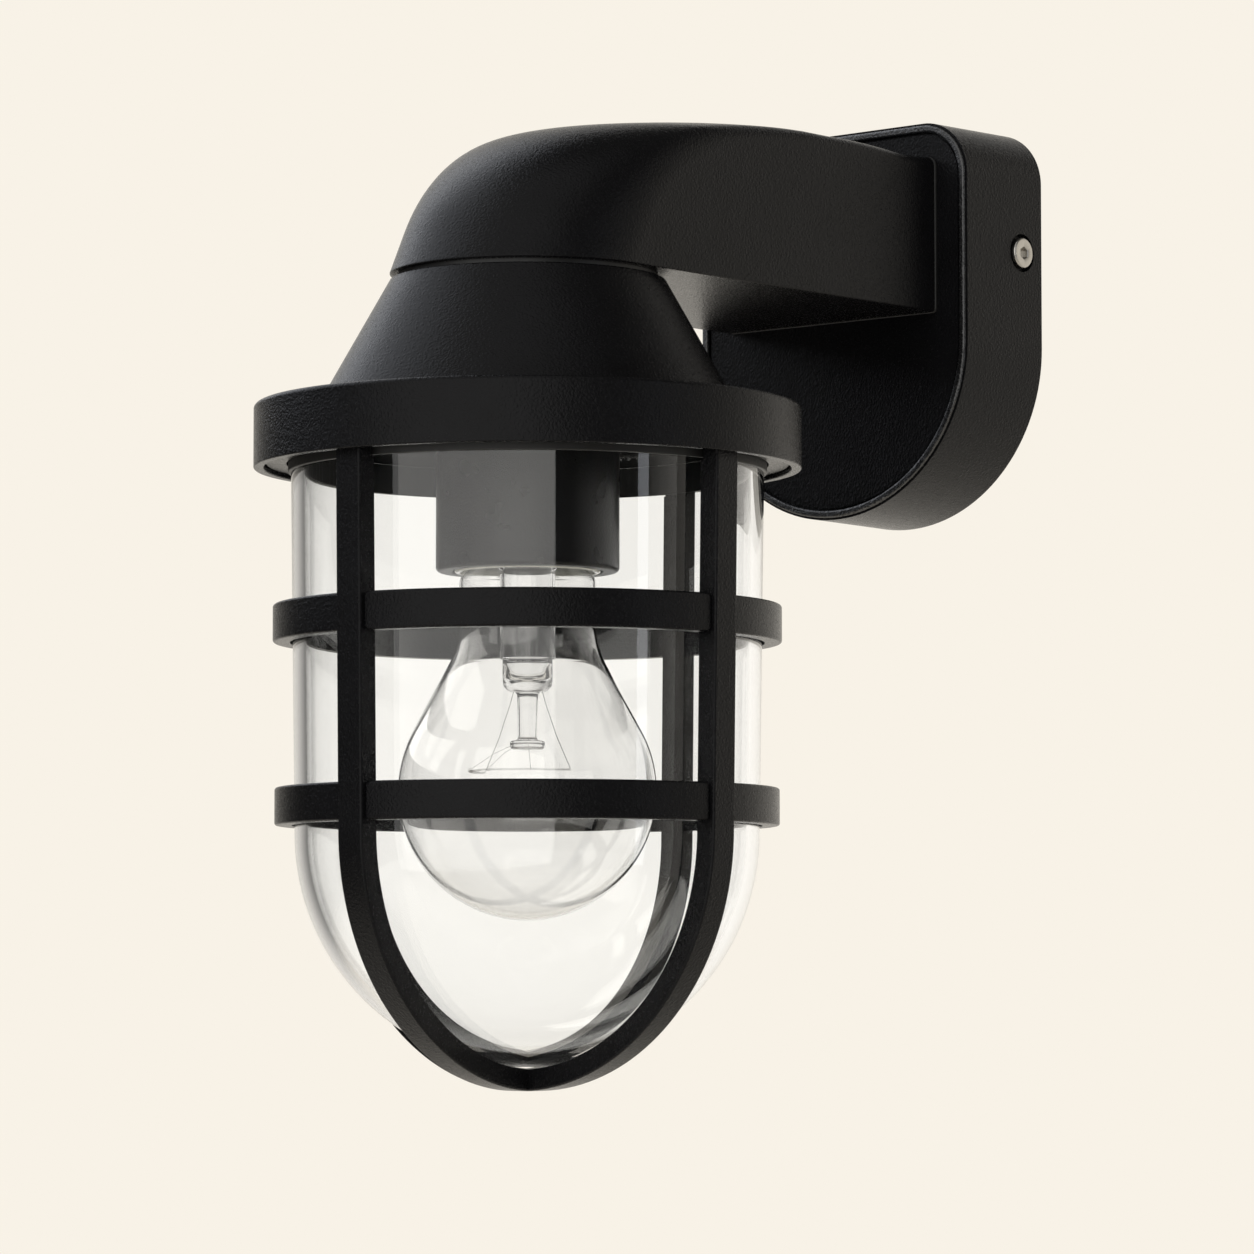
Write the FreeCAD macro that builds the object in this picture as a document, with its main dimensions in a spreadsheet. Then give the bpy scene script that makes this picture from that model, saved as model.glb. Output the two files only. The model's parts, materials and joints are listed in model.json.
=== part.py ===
import FreeCAD, Part

import math
import os

import Sketcher

# Cage wall light, in millimetres.  The origin is the middle of the face that lies on the wall.
# The wall is the plane Y = 0, the lamp stands out towards -Y and +Z is up.
# Every length that can be set by itself is one row here: its name, its value and what it is.
SIZE_ROWS = (
    ("box_width", 86.6, "wall box, over its sides at the wall"),
    ("box_depth", 31.0, "wall box, from the wall to the top of the bead"),
    ("box_top", 48.8, "wall box, from the origin up to its top edge"),
    ("box_round_drop", 6.6, "centre of the box's round lower end, below the origin"),
    ("box_corner_r", 14.0, "wall box, radius of its two upper corners"),
    ("box_draft", 1.0, "wall box, draft of its sides in degrees"),
    ("box_wall", 3.6, "wall box, side wall"),
    ("box_front_wall", 3.4, "wall box, front wall"),
    ("bead_height", 0.8, "bead round the front face, how far it stands proud"),
    ("bead_width", 1.9, "bead round the front face, across"),
    ("bead_edge", 0.5, "step between the bead and the edge of the front face"),
    ("bead_edge_r", 0.6, "bead round the front face, radius of its edges"),
    ("bead_groove", 0.55, "groove along the inner side of the bead, width and depth"),
    ("duct_width", 34.0, "opening from the box into the arm, across"),
    ("duct_height", 15.0, "opening from the box into the arm, up and down"),
    ("duct_up", 8.25, "opening from the box into the arm, above the arm's floor"),
    ("side_screw_back", 8.0, "side screws, axis in front of the wall"),
    ("side_screw_up", 16.8, "side screws, axis above the origin"),
    ("side_recess_r", 4.8, "side screws, radius of the recess in the box"),
    ("side_recess_depth", 1.5, "side screws, depth of that recess"),
    ("side_boss_r", 7.2, "side screws, radius of the boss inside the box"),
    ("side_boss_depth", 2.6, "side screws, how far the boss stands in from the wall"),
    ("side_head_r", 3.8, "side screws, head radius"),
    ("side_head_height", 2.2, "side screws, head height"),
    ("side_socket_r", 1.6, "side screws, hexagon socket, to its corners"),
    ("side_socket_depth", 1.3, "side screws, depth of the socket"),
    ("m4_r", 2.0, "M4 screw, shank radius"),
    ("m4_hole_r", 2.25, "M4 screw, clearance hole radius"),
    ("thread_gap", 0.05, "gap between a thread and its tapped hole, all round"),
    ("side_shank", 12.0, "side screws, length under the head"),
    ("seal_width", 1.8, "wall seal, across"),
    ("seal_height", 1.2, "wall seal, depth of its groove in the box's back edge"),
    ("seal_inset", 0.9, "wall seal, in from the box's outer edge"),
    ("bracket_steel", 1.5, "wall bracket, thickness of the steel"),
    ("bracket_height", 40.0, "wall bracket, height of the cross strap"),
    ("bracket_up", 7.5, "wall bracket, middle of the strap above the origin"),
    ("bracket_gap", 0.3, "wall bracket, gap between a lug and the box's boss"),
    ("bracket_tongue_width", 38.0, "wall bracket, width of the tongue under the strap"),
    ("bracket_tongue_down", 33.0, "wall bracket, bottom of the tongue below the origin"),
    ("lug_height", 17.0, "wall bracket, height of the lugs for the side screws"),
    ("lug_depth", 14.5, "wall bracket, how far the lugs stand out from the wall"),
    ("slot_edge", 4.3, "wall screw slots, steel left between a slot and the lug's face"),
    ("slot_length", 11.0, "wall screw slots, end to end"),
    ("slot_r", 2.4, "wall screw slots, half their width"),
    ("grommet_hole_r", 8.0, "cable grommet, radius of its hole in the bracket"),
    ("grommet_lip", 1.8, "cable grommet, how far its flange laps the bracket"),
    ("grommet_flange", 2.0, "cable grommet, flange thickness"),
    ("grommet_nose", 3.5, "cable grommet, height of the cone over the flange"),
    ("grommet_bore_r", 3.6, "cable grommet, radius of the hole for the supply cable"),
    ("block_width", 27.0, "terminal block, across its three poles"),
    ("block_length", 20.0, "terminal block, along the wires"),
    ("block_base", 9.0, "terminal block, height of the part that holds the wires"),
    ("block_tower_r", 3.3, "terminal block, radius of a screw tower"),
    ("block_tower_height", 3.5, "terminal block, height of a screw tower"),
    ("block_up", -21.0, "terminal block, its middle above the origin"),
    ("pole_pitch", 8.6, "terminal block, pole to pole"),
    ("wire_hole_r", 1.7, "terminal block, radius of a wire hole"),
    ("terminal_screw_r", 1.8, "terminal screws, radius"),
    ("terminal_screw_length", 4.6, "terminal screws, length"),
    ("earth_screw_side", 20.0, "earth screw, to the side of the bracket's middle"),
    ("earth_screw_up", 19.5, "earth screw, above the origin"),
    ("earth_head_r", 3.6, "earth screw, head radius"),
    ("earth_head_height", 2.4, "earth screw, head height"),
    ("earth_washer_r", 4.4, "earth washer, radius"),
    ("earth_washer_thick", 0.8, "earth washer, thickness"),
    ("lamp_out", 145.3, "lamp axis, in front of the wall"),
    ("arm_underside", 0.5, "arm, its underside above the origin"),
    ("arm_width", 66.4, "arm, over its flat sides"),
    ("arm_lean", 26.4, "arm, lean of its nose towards the wall, in degrees"),
    ("nose_back", 0.6, "arm, centre of its round nose behind the lamp axis"),
    ("nose_straight", 10.2, "arm, height of the straight part of the nose"),
    ("nose_r", 47.5, "arm, radius of the bend over the nose"),
    ("nose_end", 9.4, "arm, slope where that bend meets the crown, in degrees"),
    ("crown_r", 252.0, "arm, radius of the crown along the top"),
    ("crown_end", 1.5, "arm, slope where the swept nose stops, in degrees"),
    ("arm_wall", 3.2, "arm, wall thickness"),
    ("arm_top_edge_r", 1.6, "arm, radius along its upper side edges"),
    ("arm_gasket_thick", 0.6, "gasket between arm and box"),
    ("arm_gasket_inset", 0.3, "gasket between arm and box, in from the arm's sides"),
    ("arm_boss_r", 4.4, "arm, radius of the four screw bosses"),
    ("arm_boss_length", 14.0, "arm, length of the screw bosses"),
    ("arm_boss_in", 2.9, "arm, screw axis in from the inner wall"),
    ("arm_head_r", 3.9, "arm screws, head radius"),
    ("arm_head_height", 2.6, "arm screws, head height"),
    ("arm_shank", 13.0, "arm screws, length under the head"),
    ("seam_gap", 1.1, "shadow gap between the cap and the arm"),
    ("seam_inset", 1.8, "gasket in the shadow gap, in from the cap's top edge"),
    ("nipple_r", 4.95, "hollow threaded nipple, outer radius"),
    ("nipple_bore_r", 3.6, "hollow threaded nipple, bore radius"),
    ("nipple_hole_r", 5.2, "hole for the nipple"),
    ("nipple_spare", 1.6, "nipple, how far it stands past each nut"),
    ("nut_corner_r", 8.1, "nipple nuts, radius to the corners"),
    ("nut_height", 3.2, "nipple nuts, height"),
    ("cap_top_r", 32.4, "cap, radius of its top"),
    ("cap_cone_height", 29.9, "cap, height of the cone"),
    ("cap_cone_r", 49.3, "cap, radius of the cone's foot"),
    ("cap_wall", 3.0, "cap, wall thickness"),
    ("cap_top_edge_r", 1.2, "cap, radius of the cone's upper edge"),
    ("cap_root_r", 2.5, "cap, radius at the cone's foot"),
    ("flange_height", 15.0, "flange, height of its rim"),
    ("flange_edge_r", 1.7, "flange, radius of its upper edge"),
    ("skirt_wall", 2.4, "flange, wall of its rim round the cage ring"),
    ("ring_wall", 2.02, "cage ring, wall round the gasket"),
    ("holder_r", 21.6, "lampholder sleeve, outer radius"),
    ("holder_bottom", 69.3, "lampholder sleeve, lower edge below the origin"),
    ("holder_wall", 1.1, "lampholder sleeve, wall"),
    ("holder_lip", 2.8, "lampholder sleeve, inward lip at its lower edge"),
    ("holder_edge_r", 1.7, "lampholder sleeve, radius of its lower edge"),
    ("bridge_steel", 1.4, "lampholder bridge, thickness"),
    ("bridge_width", 15.0, "lampholder bridge, across"),
    ("bridge_leg_out", 10.5, "lampholder bridge, legs out from the lamp axis"),
    ("bridge_foot", 7.0, "lampholder bridge, length of a foot"),
    ("ceramic_gap", 0.5, "lampholder ceramic, gap to the sleeve all round"),
    ("ceramic_over_lip", 0.7, "lampholder ceramic, gap over the sleeve's lip"),
    ("ceramic_height", 45.0, "lampholder ceramic, height"),
    ("ceramic_mouth_r", 15.4, "lampholder ceramic, radius of its mouth"),
    ("ceramic_floor", 10.0, "lampholder ceramic, thickness over the screw shell"),
    ("shell_wall", 0.4, "lampholder screw shell, wall"),
    ("shell_clear", 0.4, "lampholder screw shell, gap round the bulb's cap"),
    ("shell_height", 30.0, "lampholder screw shell, height"),
    ("shell_hole_r", 11.5, "lampholder screw shell, hole in its floor"),
    ("tongue_width", 6.0, "lampholder contact tongue, across"),
    ("tongue_thick", 0.5, "lampholder contact tongue, thickness"),
    ("tongue_foot", 4.0, "lampholder contact tongue, length of its foot"),
    ("contact_clear", 0.3, "gap between the tongue and the bulb's tip"),
    ("m3_r", 1.5, "M3 screw, shank radius"),
    ("m3_head_r", 2.8, "M3 screw, head radius"),
    ("m3_head_height", 1.9, "M3 screw, head height"),
    ("m3_length", 8.0, "M3 screw, length under the head"),
    ("dome_drop", 131.0, "centre of the glass dome, below the origin"),
    ("glass_r", 54.4, "glass, outer radius at the dome's centre"),
    ("glass_wall", 3.0, "glass, wall"),
    ("draft", 0.014, "growth of glass and cage radius for each mm of height"),
    ("rim_lip", 2.6, "glass, how far its rim stands out"),
    ("rim_height", 3.4, "glass, height of its rim"),
    ("rim_drop", 36.0, "glass, top of its rim below the origin"),
    ("gasket_thick", 0.9, "glass gasket, thickness round the rim"),
    ("gasket_top", 2.6, "glass gasket, thickness over the rim"),
    ("gasket_sleeve", 0.6, "glass gasket, thickness of the sleeve under the ring"),
    ("gasket_show", 1.0, "glass gasket, how far the sleeve shows under the flange"),
    ("run_gap", 0.4, "gap between pieces that turn in one another"),
    ("seat_gap", 0.3, "gap between the gasket and what it seats on"),
    ("ring_recess", 2.3, "cage ring, its underside above the flange's lower edge"),
    ("ring_top_gap", 1.0, "cage ring, gap over it in the flange"),
    ("cage_gap", 0.5, "gap between the glass and the cage"),
    ("cage_bar", 5.1, "cage bars, depth"),
    ("bar_width", 7.5, "cage bars, across"),
    ("bar_edge_r", 0.7, "cage bars, edge radius"),
    ("hoop_set_in", 1.0, "cage hoops, how far their face lies behind the bars"),
    ("hoop_height", 8.8, "cage hoops, height"),
    ("hoop_edge_r", 0.9, "cage hoops, edge radius"),
    ("upper_hoop_drop", 82.0, "upper hoop, its middle below the origin"),
    ("lower_hoop_drop", 124.8, "lower hoop, its middle below the origin"),
    ("bulb_r", 30.3, "bulb, radius of its globe"),
    ("bulb_centre_drop", 121.0, "bulb, centre of its globe below the origin"),
    ("bulb_slope", 28.0, "bulb, slope of the shoulder in degrees"),
    ("bulb_neck_r", 16.1, "bulb, neck radius"),
    ("bulb_neck_bend_r", 20.0, "bulb, radius between neck and shoulder"),
    ("bulb_neck_taper", 3.8, "bulb, height of the taper from its neck into the cap"),
    ("bulb_in_cap", 5.0, "bulb, how far the glass reaches into the cap"),
    ("bulb_wall", 0.7, "bulb, glass wall"),
    ("bulb_cap_r", 13.1, "bulb cap, radius"),
    ("bulb_cap_drop", 67.2, "bulb cap, lower edge below the origin"),
    ("bulb_cap_height", 19.5, "bulb cap, height of the threaded shell"),
    ("bulb_cap_wall", 0.5, "bulb cap, wall"),
    ("bulb_insulator_r", 9.0, "bulb cap, radius of the insulator"),
    ("bulb_insulator_height", 4.2, "bulb cap, height of the insulator"),
    ("bulb_tip_r", 4.8, "bulb cap, radius of the centre contact"),
    ("bulb_tip_height", 1.6, "bulb cap, height of the centre contact"),
    ("stem_flare_r", 6.0, "bulb stem, radius of the flare tube"),
    ("stem_wall", 0.9, "bulb stem, wall of the flare tube"),
    ("stem_flare_drop", 90.5, "bulb stem, lower end of the flare tube"),
    ("stem_press_drop", 97.6, "bulb stem, lower end of the press"),
    ("stem_rod_r", 2.4, "bulb stem, rod radius"),
    ("stem_rod_drop", 109.0, "bulb stem, lower end of the rod"),
    ("stem_button_r", 4.2, "bulb stem, button radius"),
    ("stem_button_height", 2.2, "bulb stem, button height"),
    ("bulb_wire_r", 0.3, "bulb, radius of the lead-in wires"),
    ("bulb_wire_out", 13.4, "bulb, lower ends of the lead-in wires, out from the axis"),
    ("wire_below_rod", 7.0, "bulb, lower ends of the lead-in wires, below the rod"),
    ("filament_r", 0.35, "bulb, radius of the filament coil"),
    ("support_r", 0.2, "bulb, radius of the filament supports"),
    ("wire_gap", 0.2, "gap between a lead and its hole, or the lead beside it"),
    ("holder_wire_out", 5.5, "lampholder, wire holes out from the lamp axis"),
    ("holder_wire_depth", 4.0, "lampholder, depth of the wire holes"),
    ("lead_r", 1.05, "internal leads, radius over the insulation"),
    ("earth_lead_r", 1.25, "earth lead, radius over the insulation"),
)


class Size:
    """A size: the expression that binds it to the sheet and its value in millimetres or degrees."""

    def __init__(self, text, value):
        self.text = text
        self.value = value

    def __add__(self, other):
        other = as_size(other)
        return Size(f"({self.text} + {other.text})", self.value + other.value)

    def __sub__(self, other):
        other = as_size(other)
        return Size(f"({self.text} - {other.text})", self.value - other.value)

    def __rsub__(self, other):
        return as_size(other) - self

    def __mul__(self, other):
        other = as_size(other)
        return Size(f"({self.text} * {other.text})", self.value * other.value)

    def __truediv__(self, other):
        other = as_size(other)
        return Size(f"({self.text} / {other.text})", self.value / other.value)

    def __neg__(self):
        return Size(f"(0 - {self.text})", -self.value)

    __radd__ = __add__
    __rmul__ = __mul__


def as_size(number):
    """A plain number as a Size, so that both mix in a formula."""
    return number if isinstance(number, Size) else Size(f"({number})", float(number))


def sine(angle):
    return Size(f"sin({angle.text})", math.sin(math.radians(angle.value)))


def cosine(angle):
    return Size(f"cos({angle.text})", math.cos(math.radians(angle.value)))


def tangent(angle):
    return Size(f"tan({angle.text})", math.tan(math.radians(angle.value)))


def root(size):
    return Size(f"sqrt({size.text})", math.sqrt(size.value))


ZERO = as_size(0)
WALL = (ZERO, ZERO, ZERO)


def fill_sheet(doc):
    """The sheet of driving sizes, and the same sizes as a plain object of Size values."""
    sheet = doc.addObject("Spreadsheet::Sheet", "Sizes")
    names = type("Names", (), {})()
    for row, (alias, value, note) in enumerate(SIZE_ROWS, start=1):
        sheet.set(f"A{row}", note)
        sheet.set(f"B{row}", str(value))
        sheet.setAlias(f"B{row}", alias)
        setattr(names, alias, Size(f"Sizes.{alias}", value))
    doc.recompute()
    return names


doc = FreeCAD.newDocument("CageWallLight")
z = fill_sheet(doc)

# Places that several pieces share, worked out from the sheet.
# Heights are +Z, so what hangs below the origin is negative.
LAMP = (ZERO, -z.lamp_out, ZERO)
BOX_FRONT = z.box_depth - z.bead_height
BOX_INSIDE = BOX_FRONT - z.box_front_wall
BOX_ROUND = -z.box_round_drop
ARM_END = z.lamp_out - BOX_FRONT - z.arm_gasket_thick
ARM_MIDDLE = z.arm_underside + z.arm_wall + z.duct_up + z.duct_height / 2
CAP_TOP = z.arm_underside - z.seam_gap
FLANGE_TOP = CAP_TOP - z.cap_cone_height
FLANGE_BOTTOM = FLANGE_TOP - z.flange_height
RIM_TOP = -z.rim_drop
RIM_BOTTOM = RIM_TOP - z.rim_height
GASKET_TOP = RIM_TOP + z.gasket_top
CEILING = GASKET_TOP + z.seat_gap
GASKET_LEDGE = RIM_BOTTOM - z.gasket_thick
RING_LEDGE = GASKET_LEDGE - z.seat_gap
RING_BOTTOM = FLANGE_BOTTOM + z.ring_recess
RING_TOP = CEILING - z.ring_top_gap
DOME = -z.dome_drop
CAGE_IN_R = z.glass_r + z.cage_gap
CAGE_OUT_R = CAGE_IN_R + z.cage_bar
SLEEVE_TOP = CAP_TOP - z.cap_wall
SLEEVE_INSIDE = SLEEVE_TOP - z.holder_wall
HOLDER_BOTTOM = -z.holder_bottom
CERAMIC_BOTTOM = HOLDER_BOTTOM + z.holder_wall + z.ceramic_over_lip
CERAMIC_TOP = CERAMIC_BOTTOM + z.ceramic_height
CERAMIC_FLOOR = CERAMIC_TOP - z.ceramic_floor
NUT_SEAT = SLEEVE_INSIDE - z.bridge_steel
BULB_CAP_BOTTOM = -z.bulb_cap_drop
BULB_CAP_TOP = BULB_CAP_BOTTOM + z.bulb_cap_height
BULB_TIP = BULB_CAP_TOP + z.bulb_insulator_height + z.bulb_tip_height
SHELL_R = z.bulb_cap_r + z.shell_clear + z.shell_wall
WIRE_LOW = -(z.stem_rod_drop + z.wire_below_rod)
LUG_FACE = z.box_width / 2 - z.box_wall - z.side_boss_depth - z.bracket_gap
SLOT_OUT = LUG_FACE - z.slot_edge - z.slot_length / 2
BRACKET_LOW = z.bracket_up - z.bracket_height / 2
BRACKET_HIGH = z.bracket_up + z.bracket_height / 2


def glass_r_at(height):
    """Outer radius of the glass at a height, with its draft."""
    return z.glass_r + z.draft * (height - DOME)


GASKET_R = glass_r_at(RIM_BOTTOM) + z.rim_lip + z.gasket_thick
GASKET_SLEEVE_R = glass_r_at(RIM_BOTTOM) + z.gasket_sleeve
RING_R = GASKET_R + z.run_gap + z.ring_wall
SKIRT_R = RING_R + z.run_gap
FLANGE_R = SKIRT_R + z.skirt_wall


def origin_item(body, role):
    return next(item for item in body.Origin.OriginFeatures if item.Role == role)


def new_body(label, base=WALL, loose=False):
    """A body whose origin stands at base; loose allows several separate solids."""
    body = doc.addObject("PartDesign::Body", label)
    body.Label = label
    body.AllowCompound = loose
    for axis, place in zip("xyz", base):
        body.setExpression(f".Placement.Base.{axis}", place.text)
    return body


def sketch_on(body, role, offset=None):
    """An empty sketch on one of the body's own origin planes, offset along its normal."""
    sketch = body.newObject("Sketcher::SketchObject", body.Label + "_sketch")
    sketch.AttachmentSupport = [(origin_item(body, role), "")]
    sketch.MapMode = "FlatFace"
    if offset is not None:
        sketch.setExpression(".AttachmentOffset.Base.z", offset.text)
    return sketch


def pin(sketch, edge, end, x, y):
    """Holds one end of an edge at a place given by two sizes."""
    for size, kind, axis in ((x, "DistanceX", -2), (y, "DistanceY", -1)):
        if size is ZERO:
            sketch.addConstraint(Sketcher.Constraint("PointOnObject", edge, end, axis))
        else:
            rule = Sketcher.Constraint(kind, -1, 1, edge, end, size.value)
            index = sketch.addConstraint(rule)
            sketch.setExpression(f"Constraints[{index}]", size.text)


def arc_between(start, end, radius, turn):
    """The arc of under half a turn from start to end; turn is 1 anticlockwise, -1 clockwise."""
    across = end - start
    middle = (start + end) * 0.5
    rise = math.sqrt(max(radius * radius - across.Length * across.Length / 4, 0.0))
    side = FreeCAD.Vector(-across.y, across.x, 0).normalize()
    centre = middle + side * (rise * turn)
    first, last = (start, end) if turn > 0 else (end, start)
    a0 = math.atan2(first.y - centre.y, first.x - centre.x)
    a1 = math.atan2(last.y - centre.y, last.x - centre.x)
    if a1 < a0:
        a1 += 2 * math.pi
    return Part.ArcOfCircle(Part.Circle(centre, FreeCAD.Vector(0, 0, 1), radius), a0, a1)


def draw(sketch, corners, arcs=None, closed=True):
    """Draws a run of lines and arcs through corners; arcs gives {edge: (radius, turn)}."""
    arcs = arcs or {}
    spots = [FreeCAD.Vector(x.value, y.value, 0) for x, y in corners]
    count = len(corners) if closed else len(corners) - 1
    ends = []
    for number in range(count):
        start, end = spots[number], spots[(number + 1) % len(spots)]
        if number in arcs:
            radius, turn = arcs[number]
            edge = sketch.addGeometry(arc_between(start, end, radius.value, turn))
            ends.append((edge, 1, 2) if turn > 0 else (edge, 2, 1))
        else:
            edge = sketch.addGeometry(Part.LineSegment(start, end))
            ends.append((edge, 1, 2))
    for number, (edge, first, last) in enumerate(ends):
        if closed or number + 1 < count:
            after = ends[(number + 1) % count]
            sketch.addConstraint(Sketcher.Constraint("Coincident", edge, last, after[0], after[1]))
        pin(sketch, edge, first, *corners[number])
        if not closed and number + 1 == count:
            pin(sketch, edge, last, *corners[number + 1])
        if number in arcs:
            radius = arcs[number][0]
            index = sketch.addConstraint(Sketcher.Constraint("Radius", edge, radius.value))
            sketch.setExpression(f"Constraints[{index}]", radius.text)


def circle(sketch, x, y, radius):
    """A circle whose centre and radius are sizes."""
    centre = FreeCAD.Vector(x.value, y.value, 0)
    edge = sketch.addGeometry(Part.Circle(centre, FreeCAD.Vector(0, 0, 1), radius.value))
    pin(sketch, edge, 3, x, y)
    index = sketch.addConstraint(Sketcher.Constraint("Radius", edge, radius.value))
    sketch.setExpression(f"Constraints[{index}]", radius.text)


def rectangle(sketch, left, right, low, high):
    draw(sketch, [(left, low), (right, low), (right, high), (left, high)])


def hexagon(sketch, corner_r):
    """A hexagon about the sketch's origin, by the radius to its corners."""
    corners = []
    for step in range(6):
        angle = as_size(60 * step)
        corners.append((corner_r * cosine(angle), corner_r * sine(angle)))
    corners[0] = (corner_r, ZERO)
    corners[3] = (-corner_r, ZERO)
    draw(sketch, corners)


def slot(sketch, x, y, length, radius):
    """A slot along the sketch's x, given end to end."""
    left, right = x - (length / 2 - radius), x + (length / 2 - radius)
    corners = [
        (left, y - radius),
        (right, y - radius),
        (right + radius, y),
        (right, y + radius),
        (left, y + radius),
        (left - radius, y),
    ]
    draw(sketch, corners, {1: (radius, 1), 2: (radius, 1), 4: (radius, 1), 5: (radius, 1)})


def d_outline(sketch, inset):
    """The wall box's outline: two rounded upper corners over a half-round lower end."""
    half = z.box_width / 2 - inset
    top = z.box_top - inset
    corner = z.box_corner_r - inset
    corners = [
        (-half, top - corner),
        (-half, BOX_ROUND),
        (ZERO, BOX_ROUND - half),
        (half, BOX_ROUND),
        (half, top - corner),
        (half - corner, top),
        (corner - half, top),
    ]
    draw(sketch, corners, {1: (half, 1), 2: (half, 1), 4: (corner, 1), 6: (corner, 1)})


def pad(body, sketch, length, **settings):
    return extrude(body, "PartDesign::Pad", sketch, length, settings)


def pocket(body, sketch, length, **settings):
    return extrude(body, "PartDesign::Pocket", sketch, length, settings)


def extrude(body, kind, sketch, length, settings):
    """A pad or a pocket; a pocket that cuts nothing is an error."""
    before = body.Shape.Volume if kind.endswith("Pocket") else None
    feature = body.newObject(kind, body.Label + "_" + kind.split("::")[1].lower())
    feature.Profile = sketch
    for name, value in settings.items():
        if isinstance(value, Size):
            feature.setExpression(name, value.text)
        else:
            setattr(feature, name, value)
    feature.setExpression("Length", length.text)
    doc.recompute()
    if before is not None and body.Shape.Volume >= before - 1e-6:
        raise RuntimeError(f"{feature.Label} cuts nothing")
    return feature


def both_ways(body, sketch, length, cut=False):
    """A pad or pocket by half the length to each side of its sketch."""
    maker = pocket if cut else pad
    return maker(body, sketch, length, SideType="Symmetric")


def turned(label, corners, arcs=None):
    """A body turned about the lamp axis from a closed half section of (radius, height) corners."""
    body = new_body(label, LAMP)
    turn(body, "XZ_Plane", "Z_Axis", corners, arcs)
    return body


def turn(body, plane, axis, corners, arcs=None):
    sketch = sketch_on(body, plane)
    draw(sketch, corners, arcs)
    spin = body.newObject("PartDesign::Revolution", body.Label + "_turn")
    spin.Profile = sketch
    spin.ReferenceAxis = (origin_item(body, axis), [""])
    spin.Angle = 360
    doc.recompute()
    return spin


def edges_where(feature, test):
    names = [f"Edge{n}" for n, edge in enumerate(feature.Shape.Edges, start=1) if test(edge)]
    if not names:
        raise RuntimeError(f"no edge found on {feature.Label}")
    return names


def near(a, b):
    return abs(a - b) < 1e-3


def flat_at(axis, level):
    """A test for edges that lie in one plane square to an axis."""
    def test(edge):
        box = edge.BoundBox
        low = getattr(box, axis + "Min")
        high = getattr(box, axis + "Max")
        return near(low, level.value) and near(high, level.value)
    return test


def circle_at(radius, height):
    """A test for a circle about Z with this radius at this height."""
    def test(edge):
        curve = edge.Curve
        return (
            curve.TypeId == "Part::GeomCircle"
            and near(curve.Radius, radius.value)
            and near(curve.Center.z, height.value)
        )
    return test


def round_off(body, radius, test):
    """Rounds the edges of the body's last feature that pass the test."""
    base = body.Tip
    feature = body.newObject("PartDesign::Fillet", body.Label + "_fillet")
    feature.Base = (base, edges_where(base, test))
    feature.setExpression("Radius", radius.text)
    doc.recompute()
    return feature


def mirrored(body, features, role):
    """Repeats features on the other side of one of the body's origin planes."""
    copy = body.newObject("PartDesign::Mirrored", body.Label + "_mirror")
    copy.Originals = features
    copy.MirrorPlane = (origin_item(body, role), [""])
    body.Tip = copy
    doc.recompute()
    return copy


# ---------------------------------------------------------------- wall box and what it holds


def wall_box():
    """Die-cast box: a drafted shell, open at the back, with a bead round its front face."""
    body = new_body("wall_box")
    outline = sketch_on(body, "XZ_Plane")
    d_outline(outline, ZERO)
    pad(body, outline, BOX_FRONT, TaperAngle=-z.box_draft)
    shrink = BOX_FRONT * tangent(z.box_draft)
    bead_out = shrink + z.bead_edge
    bead_in = bead_out + z.bead_width
    bead = sketch_on(body, "XZ_Plane", BOX_FRONT)
    d_outline(bead, bead_out)
    d_outline(bead, bead_in)
    pad(body, bead, z.bead_height)
    round_off(body, z.bead_edge_r, flat_at("Y", -z.box_depth))
    groove = sketch_on(body, "XZ_Plane", BOX_FRONT)
    d_outline(groove, bead_in)
    d_outline(groove, bead_in + z.bead_groove)
    pocket(body, groove, z.bead_groove)
    inside = sketch_on(body, "XZ_Plane")
    d_outline(inside, z.box_wall)
    pocket(body, inside, BOX_INSIDE, Reversed=True)
    wall_face = z.box_width / 2 - z.box_wall
    boss = sketch_on(body, "YZ_Plane", wall_face - z.side_boss_depth)
    circle(boss, -z.side_screw_back, z.side_screw_up, z.side_boss_r)
    boss_pad = pad(body, boss, z.side_boss_depth + z.box_wall / 2)
    mirrored(body, [boss_pad], "YZ_Plane")
    shank_hole = sketch_on(body, "YZ_Plane")
    circle(shank_hole, -z.side_screw_back, z.side_screw_up, z.m4_hole_r)
    both_ways(body, shank_hole, z.box_width + z.box_wall, cut=True)
    recess = sketch_on(body, "YZ_Plane", side_recess_floor())
    circle(recess, -z.side_screw_back, z.side_screw_up, z.side_recess_r)
    recess_cut = pocket(body, recess, z.side_recess_depth * 2, Reversed=True)
    mirrored(body, [recess_cut], "YZ_Plane")
    duct = sketch_on(body, "XZ_Plane", BOX_FRONT + z.bead_height)
    slot(duct, ZERO, ARM_MIDDLE, z.duct_width, z.duct_height / 2)
    for x, height in arm_screw_places():
        circle(duct, x, height, z.m4_hole_r)
    pocket(body, duct, z.box_front_wall + z.bead_height * 2)
    seal = sketch_on(body, "XZ_Plane")
    d_outline(seal, z.seal_inset)
    d_outline(seal, z.seal_inset + z.seal_width)
    pocket(body, seal, z.seal_height, Reversed=True)
    return body


def side_recess_floor():
    """Where the side screws' heads seat: in from the drafted side of the box."""
    drafted = z.box_width / 2 - z.side_screw_back * tangent(z.box_draft)
    return drafted - z.side_recess_depth


def wall_seal():
    body = new_body("wall_seal")
    outline = sketch_on(body, "XZ_Plane")
    d_outline(outline, z.seal_inset)
    d_outline(outline, z.seal_inset + z.seal_width)
    pad(body, outline, z.seal_height)
    return body


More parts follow.
